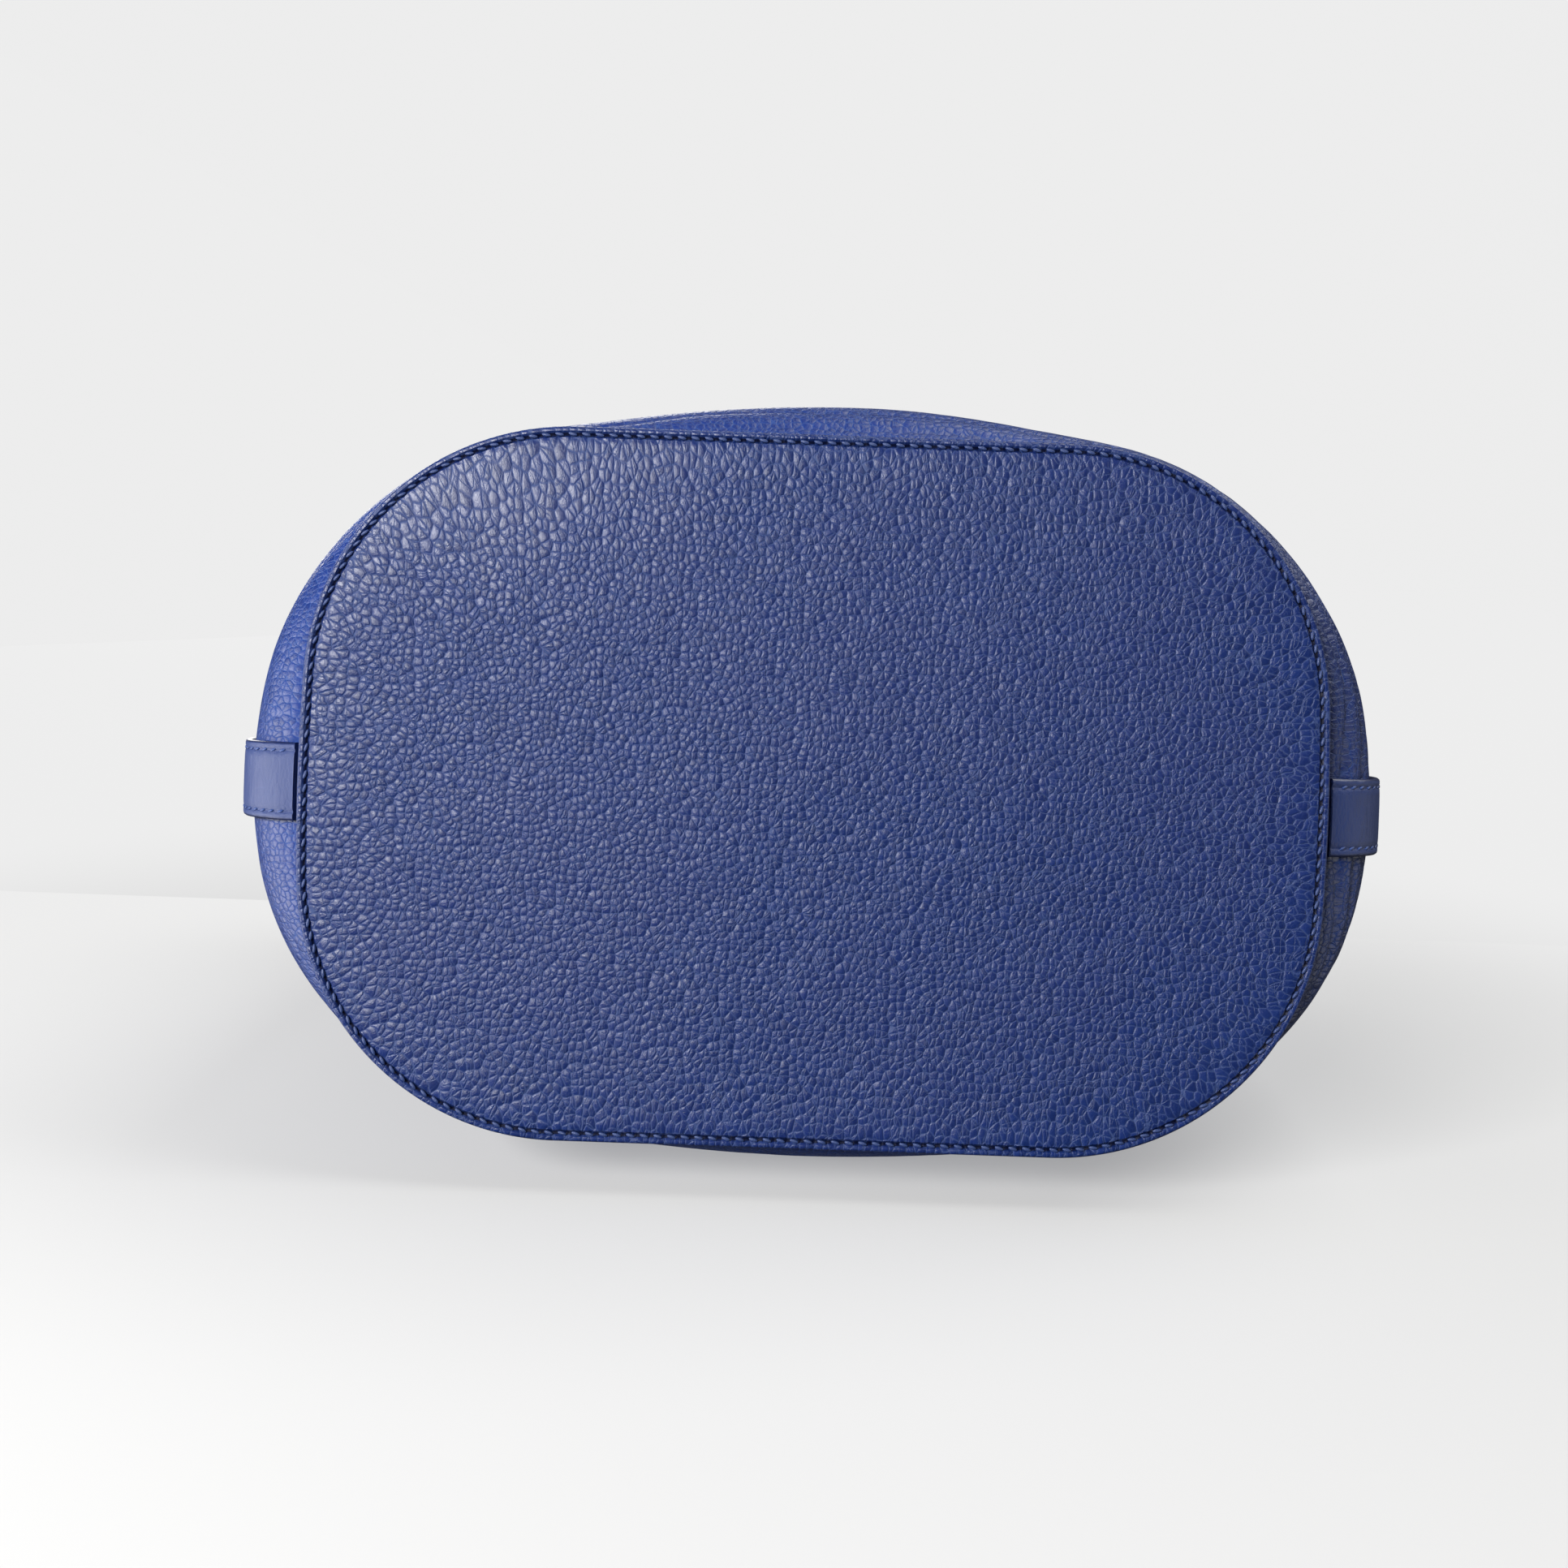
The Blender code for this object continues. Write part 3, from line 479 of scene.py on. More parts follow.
def slouch(share, height):
    """How far the leather stands out from its even shape: its bulge, folds and creases."""
    spot = wall(share, height)
    front = max(0.0, -math.sin(math.tau * share))
    from_seam = min(abs((share + 0.25) % 0.5 - 0.25) / 0.030, 1.0)
    from_seam = from_seam * from_seam * (3 - 2 * from_seam)
    low = bell(height, 0.034, 0.024)
    out = 0.0020 * low * front * bell(spot.x, 0.030, 0.050)
    out += low * front ** 0.5 * (0.0045 * bell(spot.x, 0.098, 0.030)
                                 + 0.0022 * bell(spot.x, -0.098, 0.026))
    out += 0.0022 * low * max(0.0, math.sin(math.tau * share)) ** 0.5 * (
        bell(spot.x, 0.080, 0.034) + bell(spot.x, -0.085, 0.034))
    drape = noise.noise(Vector((share * 9.0, height * 11.0, 1.7)))
    drape += 0.5 * noise.noise(Vector((share * 21.0, height * 17.0, 8.1)))
    middle = ramp(height, 0.030, 0.05) * ramp(height, 0.285, -0.05)
    out += 0.0030 * drape * middle * from_seam
    right = max(bell(share, 1.0, 0.16), bell(share, 0.0, 0.13))
    creased = 0.15 + 0.85 * right + 0.25 * bell(share, 0.75, 0.12)
    band = ramp(height, 0.0055, 0.004) * ramp(height, 0.036, -0.016)
    wave = height / 0.0056 + 1.5 * noise.noise(Vector((share * 16, height * 40, 4.2)))
    out -= 0.00085 * creased * band * (1 - abs(math.sin(math.pi * wave))) ** 2 * 2
    wave = height / 0.0031 + 2.5 * noise.noise(Vector((share * 34, height * 60, 9.4)))
    out -= 0.00022 * creased * band * (1 - abs(math.sin(math.pi * wave)))
    return out


panel_heights = [0.0064 + 0.00075 * k for k in range(38)]
panel_heights += [0.0355 + 0.0015 * k for k in range(5)] + [0.0430 + 0.0035 * k for k in range(71)]
panel_heights = [h for h in panel_heights if h < mouth_height - 0.002] + [mouth_height]
flange_rows = ((0.0, flange_top), (-0.0014, flange_top), (-0.0029, flange_top),
               (-flange_width, flange_top), (-flange_width - 0.0006, flange_top + 0.0004))
girth = 0.76


def seam_pull(height):
    """How strongly the base seam draws the leather out, 1 at its foot and less above."""
    return math.exp(-(height - 0.006) / 0.012)


def facing(bm, way):
    """Turns an open shell so that its faces look out of the bag, or into it with way -1."""
    face = max(bm.faces, key=lambda f: abs(f.calc_center_median().y))
    face.normal_update()
    if face.normal.y * face.calc_center_median().y * way < 0:
        bmesh.ops.reverse_faces(bm, faces=bm.faces)


def thicken(piece, thickness, rounding=0.0004):
    """Gives a sheet its thickness on the inner side, and rounds its cut edges."""
    solid = piece.modifiers.new("thickness", "SOLIDIFY")
    solid.thickness, solid.offset = thickness, -1
    if rounding:
        edges = piece.modifiers.new("rounded edges", "BEVEL")
        edges.width, edges.segments, edges.angle_limit = rounding, 2, math.radians(65)


def panel(name, first, last, stands_for):
    """One body panel, from one share of the way round the base to another."""

    def place(u, v):
        share = first + (last - first) * u
        row = round(v * (len(flange_rows) + len(panel_heights) - 1))
        if row < len(flange_rows):
            offset, height = flange_rows[row]
            spot = Vector((*oval(share, offset), height))
            return spot, Vector((share * girth, 0.004 + offset))
        height = panel_heights[row - len(flange_rows)]
        spot = wall(share, height) + outwards(share, height) * slouch(share, height)
        return spot, Vector((share * girth, height - 0.006 * seam_pull(height)))

    def drawn(u, v):
        row = round(v * (len(flange_rows) + len(panel_heights) - 1)) - len(flange_rows)
        return 0.8 * seam_pull(panel_heights[max(row, 0)])

    bm = flat_sheet(210, len(flange_rows) + len(panel_heights) - 1, place, mark=drawn)
    facing(bm, 1)
    piece = add_piece(name, bm, body_leather, "bag", [stands_for], sharp=60)
    thicken(piece, panel_thickness)


body_leather = grained_leather("body leather", blue)
panel("front_leather", 0.5 + seam_gap, 1 - seam_gap, "front_panel")
panel("back_leather", seam_gap, 0.5 - seam_gap, "back_panel")

# ---- side straps --------------------------------------------------------------------
# A strap of smoother leather covers each side seam. It starts in the base seam, runs up to
# the mouth, narrows, passes round the ring and is sewn down again inside. Both long edges
# are stitched, and painted dark.
strap_thickness = 0.0020
strap_width = 0.020
loop_width = 0.008
loop_radius = 0.00375
ring_radius, wire_radius = 0.019, 0.0019
clearance = 0.0003
stitch_step, strap_stitch = 0.0033, 0.86

stitched_section = (  # across, as a share of the half width, and out, of the half thickness
    (1.0, 0.0), (0.992, 0.5), (0.965, 0.86), (0.92, 1.0), (0.85, 1.0), (0.81, 0.78),
    (0.78, 0.66), (0.75, 0.78), (0.70, 1.02), (0.58, 1.08), (0.30, 1.12),
)
under_section = ((0.992, -0.5), (0.965, -0.86), (0.92, -1.0), (0.5, -1.0))


def section_round(upper, under):
    """A closed section from its upper and under halves, mirrored about the middle."""
    left = [(-a, b) for a, b in reversed(upper)]
    below = [(-a, b) for a, b in under]
    return [*upper, (0.0, upper[-1][1]), *left, *below, (0.0, -1.0), *reversed(under)]


strap_section = section_round(stitched_section, under_section)


def smooth_path(points, steps):
    """Points along a smooth curve through the given ones, steps to each span."""
    ends = [2 * points[0] - points[1], *points, 2 * points[-1] - points[-2]]
    path = []
    for a, b, c, d in zip(ends, ends[1:], ends[2:], ends[3:]):
        for k in range(steps):
            t = k / steps
            path.append(0.5 * (2 * b + (c - a) * t + (2 * a - 5 * b + 4 * c - d) * t**2
                               + (3 * b - a - 3 * c + d) * t**3))
    return path + [points[-1]]


def length_of(path):
    return sum((b - a).length for a, b in zip(path, path[1:]))


def ahead_at(path, k, closed=False):
    """The direction of a path at its point k."""
    if closed:
        return (path[(k + 1) % len(path)] - path[k - 1]).normalized()
    return (path[min(k + 1, len(path) - 1)] - path[max(k - 1, 0)]).normalized()


def swept(path, section, across, widths, depths, closed=False, good_side=1):
    """A solid that follows path, its section across it. widths and depths are halves, one for
    each point or one for all."""
    count = len(path)
    widths, depths = ([size] * count if isinstance(size, float) else size
                      for size in (widths, depths))
    rows = count if closed else count - 1
    runs = [0.0]
    for k in range(rows):
        runs.append(runs[-1] + (path[(k + 1) % count] - path[k]).length)

    def place(u, v):
        k = round(v * rows)
        a, b = section[round(u * len(section)) % len(section)]
        out = across.cross(ahead_at(path, k % count, closed)).normalized() * good_side
        spot = path[k % count] + across * (a * widths[k % count]) + out * (b * depths[k % count])
        return spot, Vector((u * 4 * widths[k % count], runs[k]))

    def painted(u, v):
        return ramp(abs(section[round(u * len(section)) % len(section)][0]), 0.94, 0.02)

    bm = flat_sheet(len(section), rows, place, joined=True, mark=painted, marked="painted")
    bmesh.ops.holes_fill(bm, edges=open_edges(bm))
    bmesh.ops.recalc_face_normals(bm, faces=bm.faces)
    return bm


def sew(path, widths, across, first, last, good_side=1):
    """Stitches along both edges of a strap, from one distance along it to another."""
    places, run, due = [], 0.0, first
    for k in range(len(path) - 1):
        step = (path[k + 1] - path[k]).length
        while due <= run + step and due <= last:
            t = (due - run) / step
            middle = path[k].lerp(path[k + 1], t)
            width = widths[k] + (widths[k + 1] - widths[k]) * t
            along = ahead_at(path, k).lerp(ahead_at(path, k + 1), t).normalized()
            out = across.cross(along).normalized() * good_side
            for row in (-0.78, 0.78):
                spot = middle + across * (row * width) + out * (strap_thickness * 0.40)
                places.append(stitch(spot, along, across * -good_side, strap_stitch))
            due += stitch_step
        run += step
    return places


def smooth_leather(name, colour, gloss=0.42):
    """Closer, finer leather for straps, with dark paint on its cut edges."""
    r = Recipe(name)
    hide = r.add("ShaderNodeUVMap", uv_map="hide")
    edge = r.add("ShaderNodeAttribute", attribute_name="painted", out=2)
    loose = r.wander(r.wander(hide, 70, 0.0012), 600, 0.0003)
    valley = r.near(r.cells(loose, 780), 0.12)
    dome = r.cells(loose, 780, "F1")
    pores = r.noise(hide, 5200, 3, 0.6)
    bend = r.ease(r.noise(r.wander(hide, 120, 0.004), 260, 3), 0.35, 0.75)
    leather = r.math("SUBTRACT", 1.0, r.math("ABSOLUTE", edge))
    height = r.total(0.0, (valley, -0.000015), (dome, -0.00004), (pores, 0.00003),
                     (bend, 0.00010))
    height = r.math("MULTIPLY", height, leather)
    mottle = r.ease(r.noise(hide, 45, 3), 0.3, 0.7)
    base = r.blend(mottle, shaded(colour, 0.85, 0.88, 0.92), shaded(colour, 1.2, 1.15, 1.1))
    # The fine creases are a little paler: painted highlight, for light caught on their slopes.
    base = r.blend(r.math("MULTIPLY", valley, 0.16), base, shaded(colour, 1.9, 1.7, 1.4))
    base = r.blend(edge, base, shaded(colour, 0.35, 0.35, 0.45))
    rough = r.total(gloss, (pores, 0.12), (edge, -0.14))
    return r.dress(base, rough, height, IOR=1.5)


strap_leather = smooth_leather("strap leather", (0.020, 0.040, 0.150))


def add_strap(node, bm, body):
    """A piece of strap leather that stands for a node."""
    return add_piece(node + "_leather", bm, strap_leather, body, [node],
                     sharp=60)


def side_line(height, out):
    """A point on the right side seam, moved out along its normal."""
    low, high = wall(0, height - 0.0005), wall(0, min(height + 0.0005, mouth_height))
    steep = Vector((high.z - low.z, 0, low.x - high.x)).normalized()
    return wall(0, height) + out * steep


def turned(centre, radius, start, end, steps):
    """Points on an arc across Y, from the angle start to end in degrees."""
    angles = (math.radians(start + (end - start) * k / steps) for k in range(steps + 1))
    return [centre + radius * Vector((math.cos(a), 0, math.sin(a))) for a in angles]


strap_out = clearance + strap_thickness / 2
ring_plane = side_line(mouth_height, strap_out).x + 0.0022 - loop_radius
ring_foot = mouth_height + 0.0064
side_heights = (0.0066, 0.0085, 0.0110, 0.0140, 0.0180, 0.0230, 0.0300, 0.0400, 0.0600, 0.0850,
                0.1150, 0.1500, 0.1900, 0.2300, 0.2600, 0.2750, 0.2840)
side_path = [side_line(h, strap_out) for h in side_heights]
ring_turn = Vector((ring_plane, 0, ring_foot))
side_path.append(ring_turn + Vector((loop_radius - 0.0004, 0, -0.0040)))
side_path += turned(ring_turn, loop_radius, 0, 180, 8)
inner_out = -(panel_thickness + 3 * clearance + 0.0012 + strap_thickness / 2 + 0.0008)
side_path.append(ring_turn - Vector((loop_radius + 0.0006, 0, 0.0045)))
side_path += [side_line(h, inner_out) for h in (0.2860, 0.2790, 0.2720)]
side_path = smooth_path(side_path, 6)
side_widths = []
turned_over = False
for spot in side_path:
    turned_over = turned_over or spot.z > mouth_height
    share = 1.0 if turned_over else ramp(spot.z, 0.262, 0.024)
    side_widths.append((strap_width + (loop_width - strap_width) * share) / 2)
    spot.y += 0.0020 * bell(spot.z, 0.0, 0.030)
X, Y, Z = Matrix.Identity(3)
side_straps = {"right_side_strap": 1, "left_side_strap": -1}
for name, side in side_straps.items():
    path = [Vector((p.x * side, p.y, p.z)) for p in side_path]
    bm = swept(path, strap_section, Y, side_widths, strap_thickness / 2, good_side=side)
    add_strap(name, bm, "bag")
    places = sew(path, side_widths, Y, 0.004, 0.252, good_side=side)
    add_stitches(name + "_stitches", places, "bag")

# ---- lining and slip pocket ---------------------------------------------------------
# A plain woven cotton bag drops inside the leather one, over the board. Its slip pocket is
# a hemmed patch of the same cloth, sewn on the back at its sides and foot.
lining_thickness = 0.0008
lining_top = mouth_height - 0.040 - clearance
lining_foot = 0.0023 + 0.0015 + 2 * clearance


def woven_cloth(name, colour, pitch=0.00055):
    """Plain weave: threads that pass over and under each other, with slubs."""
    r = Recipe(name)
    cloth = r.add("ShaderNodeUVMap", uv_map="hide")
    loose = r.wander(cloth, 300, 0.00010)
    axes = r.add("ShaderNodeSeparateXYZ", {"Vector": loose}).node.outputs

    def waves(turn):
        return [r.math("SINE", r.math("MULTIPLY", axes[axis], turn / pitch)) for axis in "XY"]

    ribs = waves(math.tau)
    over = r.ease(r.math("MULTIPLY", *waves(math.pi)), -0.4, 0.4)
    weave = r.math("ADD", r.math("MULTIPLY", ribs[0], over),
                   r.math("MULTIPLY", ribs[1], r.math("SUBTRACT", 1.0, over)))
    slub = r.noise(loose, 240, 3)
    fuzz = r.noise(cloth, 5200, 2)
    height = r.total(0.0, (weave, 0.00006), (fuzz, 0.00004))
    shares = r.total(0.0, (slub, 0.9), (weave, 0.25))
    base = r.blend(shares, shaded(colour, 0.6, 0.6, 0.6), shaded(colour, 1.5, 1.45, 1.35))
    return r.dress(base, r.total(0.8, (fuzz, 0.1)), height, Sheen_Weight=0.25, Sheen_Roughness=0.5)


lining_cloth = woven_cloth("lining cotton", (0.030, 0.044, 0.130))
lining_floor = ((-0.0140, 0.0), (-0.0120, 0.0002), (-0.0090, 0.0006))
lining_walls = ((0.0080, 0.0066), (0.0100, 0.0056), (0.0160, 0.0048), (0.0230, 0.0044),
                (0.0300, 0.0040), (0.0400, 0.0039), (0.0500, 0.0038),
                *((0.0600 + 0.0060 * k, 0.0037) for k in range(31)), (lining_top, 0.0036))
floor_rings = 9


def lining_place(u, v):
    """Rows run from the middle of the floor to its edge, and up the walls."""
    row = round(v * (floor_rings + len(lining_floor) + len(lining_walls) - 1))
    if row < floor_rings:
        spot = oval(u, -0.0140) * (0.004 + 0.996 * row / floor_rings)
        return Vector((*spot, lining_foot)), spot
    row -= floor_rings
    if row < len(lining_floor):
        offset, rise = lining_floor[row]
        spot = oval(u, offset)
        return Vector((*spot, lining_foot + rise)), spot
    height, inset = lining_walls[row - len(lining_floor)]
    ripple = 0.0011 * noise.noise(Vector((u * 26, height * 16, 5.5)))
    ripple += 0.0007 * noise.noise(Vector((u * 60, height * 40, 2.5)))
    loose = ramp(height, lining_top, -0.03) * ramp(height, 0.012, 0.02)
    inset += max(0.0, 0.0010 + ripple) * loose
    return wall(u, height, inset), Vector((u * girth, 0.2 + height))


bm = flat_sheet(180, floor_rings + len(lining_floor) + len(lining_walls) - 1, lining_place,
                joined=True)
bmesh.ops.holes_fill(bm, edges=[e for e in open_edges(bm) if e.verts[0].co.z < 0.01])
bmesh.ops.recalc_face_normals(bm, faces=bm.faces)
facing(bm, -1)
lining_area = sum(f.calc_area() for f in bm.faces)
lining = add_piece("cotton_lining", bm, lining_cloth, "bag", ["lining"], sharp=60)
thicken(lining, lining_thickness, 0)

pocket_low, pocket_high, pocket_spread = 0.115, 0.230, 0.085
pocket_inset = 0.0036 + lining_thickness + 0.0030


def pocket_place(u, v):
    """Columns run across the pocket and rows up it, to the hem along its open top."""
    share = 0.25 + pocket_spread * (2 * u - 1)
    height = pocket_low + (pocket_high - pocket_low) * v
    edge = min(u, 1 - u, v * 1.4) * 12
    belly = 0.0035 * math.sin(math.pi * u) * v ** 2
    hem = 0.0006 if v > 0.93 else 0.0
    puff = 0.0006 * noise.noise(Vector((u * 7, v * 6, 3.3))) * min(edge, 1)
    spot = wall(share, height, pocket_inset - 0.0016 + belly + hem + puff)
    return spot, Vector((share * girth, 0.6 + height))


bm = flat_sheet(64, 46, pocket_place)
facing(bm, -1)
pocket_area = sum(f.calc_area() for f in bm.faces)
pocket = add_piece("cotton_slip_pocket", bm, lining_cloth, "bag", ["slip_pocket"],
                   sharp=60)
thicken(pocket, lining_thickness, 0)
places = []
for u, v, along_u in ([(0.03, 0.02 + 0.9 * k / 32, 0) for k in range(33)]
                      + [(0.97, 0.02 + 0.9 * k / 32, 0) for k in range(33)]
                      + [(0.05 + 0.9 * k / 34, 0.02, 1) for k in range(35)]
                      + [(0.05 + 0.9 * k / 34, 0.92, 1) for k in range(35)]):
    here = pocket_place(u, v)[0]
    near = pocket_place(u + 0.01 * along_u, v + 0.01 * (1 - along_u))[0]
    along = (near - here).normalized()
    inward = -outwards(0.25 + pocket_spread * (2 * u - 1), here.z)
    places.append(stitch(here + inward * (lining_thickness * 0.2), along, inward.cross(along),
                         scale=0.7, slanted=0.0))
pocket_stitches = add_stitches("pocket_stitches", places, "bag")

# ---- mouth facing -------------------------------------------------------------------
# A band of smooth leather lines the mouth and hides the lining's top edge. One row of
# stitches holds it to the panels just under the rim, and another holds the lining.
facing_thickness = 0.0012
facing_foot = mouth_height - 0.040
facing_inset = panel_thickness + 2 * clearance


def facing_place(u, v):
    height = facing_foot + (mouth_height - facing_foot) * v
    return wall(u, height, facing_inset), Vector((u * girth, height))


bm = flat_sheet(180, 14, facing_place, joined=True, marked="painted")
bmesh.ops.recalc_face_normals(bm, faces=bm.faces)
facing(bm, 1)
thicken(add_strap("mouth_facing", bm, "bag"), facing_thickness, 0.0003)

rim_stitches, rim_height, inner_face = 224, 0.2866, facing_inset + facing_thickness
for name, height, inset in (("rim_stitches_outside", rim_height, -0.0002),
                            ("rim_stitches_inside", rim_height, inner_face),
                            ("facing_stitches", 0.2530, inner_face)):
    places = []
    for k in range(rim_stitches):
        share = k / rim_stitches
        under_side_strap = abs((share + 0.25) % 0.5 - 0.25) < 0.017
        under_anchor = abs(share - 0.25) < 0.026
        if inset < 0 and (under_side_strap or under_anchor):
            continue
        along = (wall(share + 0.001, height) - wall(share - 0.001, height)).normalized()
        places.append(stitch(wall(share, height, inset), along, Z, strap_stitch))
    add_stitches(name, places, "bag")

# ---- closure tab --------------------------------------------------------------------
# A leather tab is sewn to the back of the mouth and folds over it, down to a magnet on the
# front. Its anchor and the tab are both stitched round.
tab_width = 0.034
disc_thickness = 0.0016
tab_hinge = Vector((0, 0.0585, 0.2925))


def front_line(height, out):
    """A point down the middle of the front, moved out along its normal."""
    low, high = wall(0.75, height - 0.0005), wall(0.75, height + 0.0005)
    steep = Vector((0, low.z - high.z, high.y - low.y)).normalized()
    return wall(0.75, height) + out * steep


def round_end(at, length):
    """How wide a strap is at a place on its rounded end, as a share of its full width."""
    return math.sqrt(1 - (1 - ramp(at, 0, length)) ** 2)


tab_out = 3 * clearance + 2 * disc_thickness + strap_thickness / 2
tab_path = [front_line(h, tab_out) for h in (0.2430, 0.2500, 0.2600, 0.2700, 0.2790, 0.2860)]
tab_path += [Vector((0, y, z)) for y, z in ((-0.0560, 0.2952), (-0.0440, 0.2966),
             (-0.0200, 0.2964), (0.0100, 0.2958), (0.0400, 0.2950), (0.0569, 0.2941))]
tab_path = smooth_path(tab_path, 8)
tab_widths = []
for k in range(len(tab_path)):
    width = tab_width / 2 * round_end(length_of(tab_path[:k + 1]), tab_width / 2)
    tab_widths.append(max(width, 0.0035))
bm = swept(tab_path, strap_section, X, tab_widths, strap_thickness / 2)
add_strap("closure_tab", bm, "tab")
places = sew(tab_path, tab_widths, X, 0.010, length_of(tab_path) - 0.004)
add_stitches("closure_tab_stitches", places, "tab")

back = wall(0.25, mouth_height).y
anchor_foot = 0.2520
anchor_path = [tab_hinge + Vector((0, 0.0002, 0.0006)), Vector((0, back + 0.0044, 0.2895))]
for h in (0.2830, 0.2740, 0.2620, anchor_foot):
    anchor_path.append(Vector((0, wall(0.25, h).y + clearance + strap_thickness / 2 + 0.0004, h)))
anchor_path = smooth_path(anchor_path, 8)
anchor_widths = [tab_width / 2 - 0.0065 * (1 - round_end(spot.z - anchor_foot, 0.010))
                 for spot in anchor_path]
bm = swept(anchor_path, strap_section, X, anchor_widths, strap_thickness / 2)
add_strap("tab_anchor", bm, "bag")
places = sew(anchor_path, anchor_widths, X, 0.006, 0.042)
for k in range(-3, 4):
    spot = anchor_path[-1] + Vector((0.0034 * k, strap_thickness * 0.45, 0.0026))
    places.append(stitch(spot, X, Z, strap_stitch))
add_stitches("tab_anchor_stitches", places, "bag")

# ---- metal parts --------------------------------------------------------------------
# The rings, buckle, magnet and rivet cap are nickel-plated and polished, with the fine
# scratches of use.


def polished_metal(name, colour, gloss=0.16):
    r = Recipe(name)
    where = r.add("ShaderNodeTexCoord", out=3)
    marks = r.add("ShaderNodeMapping", {"Vector": where, "Scale": (1.0, 9.0, 1.0),
                                        "Rotation": (0.4, 0.7, 0.3)})
    scratches = r.ease(r.noise(marks, 420, 4, 0.7), 0.50, 0.72)
    smears = r.noise(where, 90, 3)
    base = r.blend(smears, shaded(colour, 0.92, 0.90, 0.86), (*colour, 1))
    rough = r.total(gloss - 0.06, (scratches, 0.12), (smears, 0.14))
    return r.dress(base, rough, r.math("MULTIPLY", scratches, 0.000012), Metallic=1.0)


nickel = polished_metal("nickel plate", (0.78, 0.76, 0.72))
for node in ("magnet", "magnet_washer", "tab_plate", "tab_cap"):
    refinish(node, nickel)


def circle(count):
    """Places round a circle of radius 1."""
    return [(math.cos(math.tau * k / count), math.sin(math.tau * k / count)) for k in range(count)]


round_section = circle(20)
handle_reach, handle_lean = 0.190, math.radians(36)
hinge_height = ring_foot + ring_radius
hung = (Matrix.Translation((0, 0, hinge_height))
        @ Matrix.Rotation(math.pi - handle_lean, 4, "X"))


def hang(bm):
    """Puts a shape made with the handle straight up from the rings' middle at its lean."""
    bmesh.ops.transform(bm, matrix=hung, verts=bm.verts)
    bmesh.ops.recalc_face_normals(bm, faces=bm.faces)
    return bm


def add_wire(node, points, radius):
    """A closed loop of round wire on the handle, which stands for a node."""
    bm = swept(points, round_section, X, radius, radius, closed=True)
    add_piece(node + "_wire", hang(bm), nickel, "handle", [node])


for side, name in ((1, "right_ring"), (-1, "left_ring")):
    points = [Vector((side * ring_plane, ring_radius * y, ring_radius * z)) for y, z in circle(72)]
    add_wire(name, points, wire_radius)

# ---- handle straps ------------------------------------------------------------------
# Two straps of the same leather make the shoulder handle. Each is looped round a ring and
# sewn, and they meet at a buckle on the left leg, where the long strap has punched holes.
leg_end = 0.110
heel_bar, front_bar, bar_radius = 0.080, 0.100, 0.0015
heel_turn = bar_radius + 0.00025 + strap_thickness / 2
leg_x = ring_plane + loop_radius


def flat_path(places):
    """Points in the handle's own plane."""
    return [Vector((x, 0, z)) for x, z in places]


beside = leg_x - strap_thickness - clearance
ring_loop = flat_path([(beside, ring_radius + d) for d in (0.030, 0.024, 0.018, 0.012)]
                      + [(beside - 0.0030, ring_radius + 0.0050)])
ring_loop += turned(Vector((ring_plane, 0, ring_radius - 0.0004)), loop_radius, 180, 360, 8)


def leg_sizes(path, looped):
    """Narrow on the ring, then full width once the strap is clear of it."""
    sizes = []
    for k, spot in enumerate(path):
        share = ramp(spot.z, ring_radius + 0.008, 0.014) if k > looped else 0
        sizes.append((loop_width + (strap_width - loop_width) * share) / 2)
    return sizes


def add_handle_strap(node, bm, places):
    """One of the handle's two straps, with its stitches."""
    add_strap(node, hang(bm), "handle")
    add_stitches(node + "_stitches", [hung @ place for place in places], "handle")


short = ring_loop + flat_path([(leg_x, d) for d in (0.030, 0.036, 0.042, 0.050, 0.060, 0.070)])
short += turned(Vector((leg_x - heel_turn, 0, heel_bar)), heel_turn, 0, 180, 8)
short += flat_path([(beside - 0.0012, heel_bar - 0.006), (beside, heel_bar - 0.010),
                    (beside, heel_bar - 0.014)])
short = smooth_path(short, 5)
short_sizes = leg_sizes(short, len(ring_loop) * 5)
short = [Vector((-p.x, p.y, p.z)) for p in short]
bm = swept(short, strap_section, Y, short_sizes, strap_thickness / 2, good_side=-1)
prong_slot = 0.0024
for side in (-prong_slot, prong_slot):
    bmesh.ops.bisect_plane(bm, geom=bm.verts[:] + bm.edges[:] + bm.faces[:], dist=1e-7,
                           plane_co=(0, side, 0), plane_no=Y)
middles = [(face, face.calc_center_median()) for face in bm.faces]
bmesh.ops.delete(bm, context="FACES", geom=[
    face for face, spot in middles if abs(spot.y) < prong_slot and spot.z > heel_bar - 0.0025])
bmesh.ops.bridge_loops(bm, edges=open_edges(bm))
add_handle_strap("handle_buckle_strap", bm, sew(short, short_sizes, Y, 0.062, 0.108, good_side=-1))

outer = leg_x + strap_thickness + clearance
under_bar = leg_x - heel_turn - bar_radius - clearance - strap_thickness / 2
over_bar = flat_path([(outer, 0.048), (outer, 0.056), (outer, 0.064), (outer, 0.072),
                      (outer, heel_bar), (outer - 0.0024, 0.086), (under_bar + 0.0026, 0.093),
                      (under_bar, front_bar), (under_bar + 0.0014, 0.107), (leg_x - 0.0010, 0.116)])
squareness = 2.3
power = 2 / squareness
arch = []
for k in range(1, 60):
    turn = math.pi * k / 60
    x = math.copysign(abs(math.cos(turn)) ** power, math.cos(turn)) * leg_x
    arch.append((x, leg_end + (handle_reach - leg_end) * math.sin(turn) ** power))
arch = flat_path([(x, z) for x, z in arch if x > -leg_x + 0.004 or z > 0.122])
right_leg = ring_loop + flat_path([(leg_x, d) for d in (0.030, 0.036, 0.042, 0.051, 0.060, 0.072,
                                                       0.085, 0.095, 0.105)])
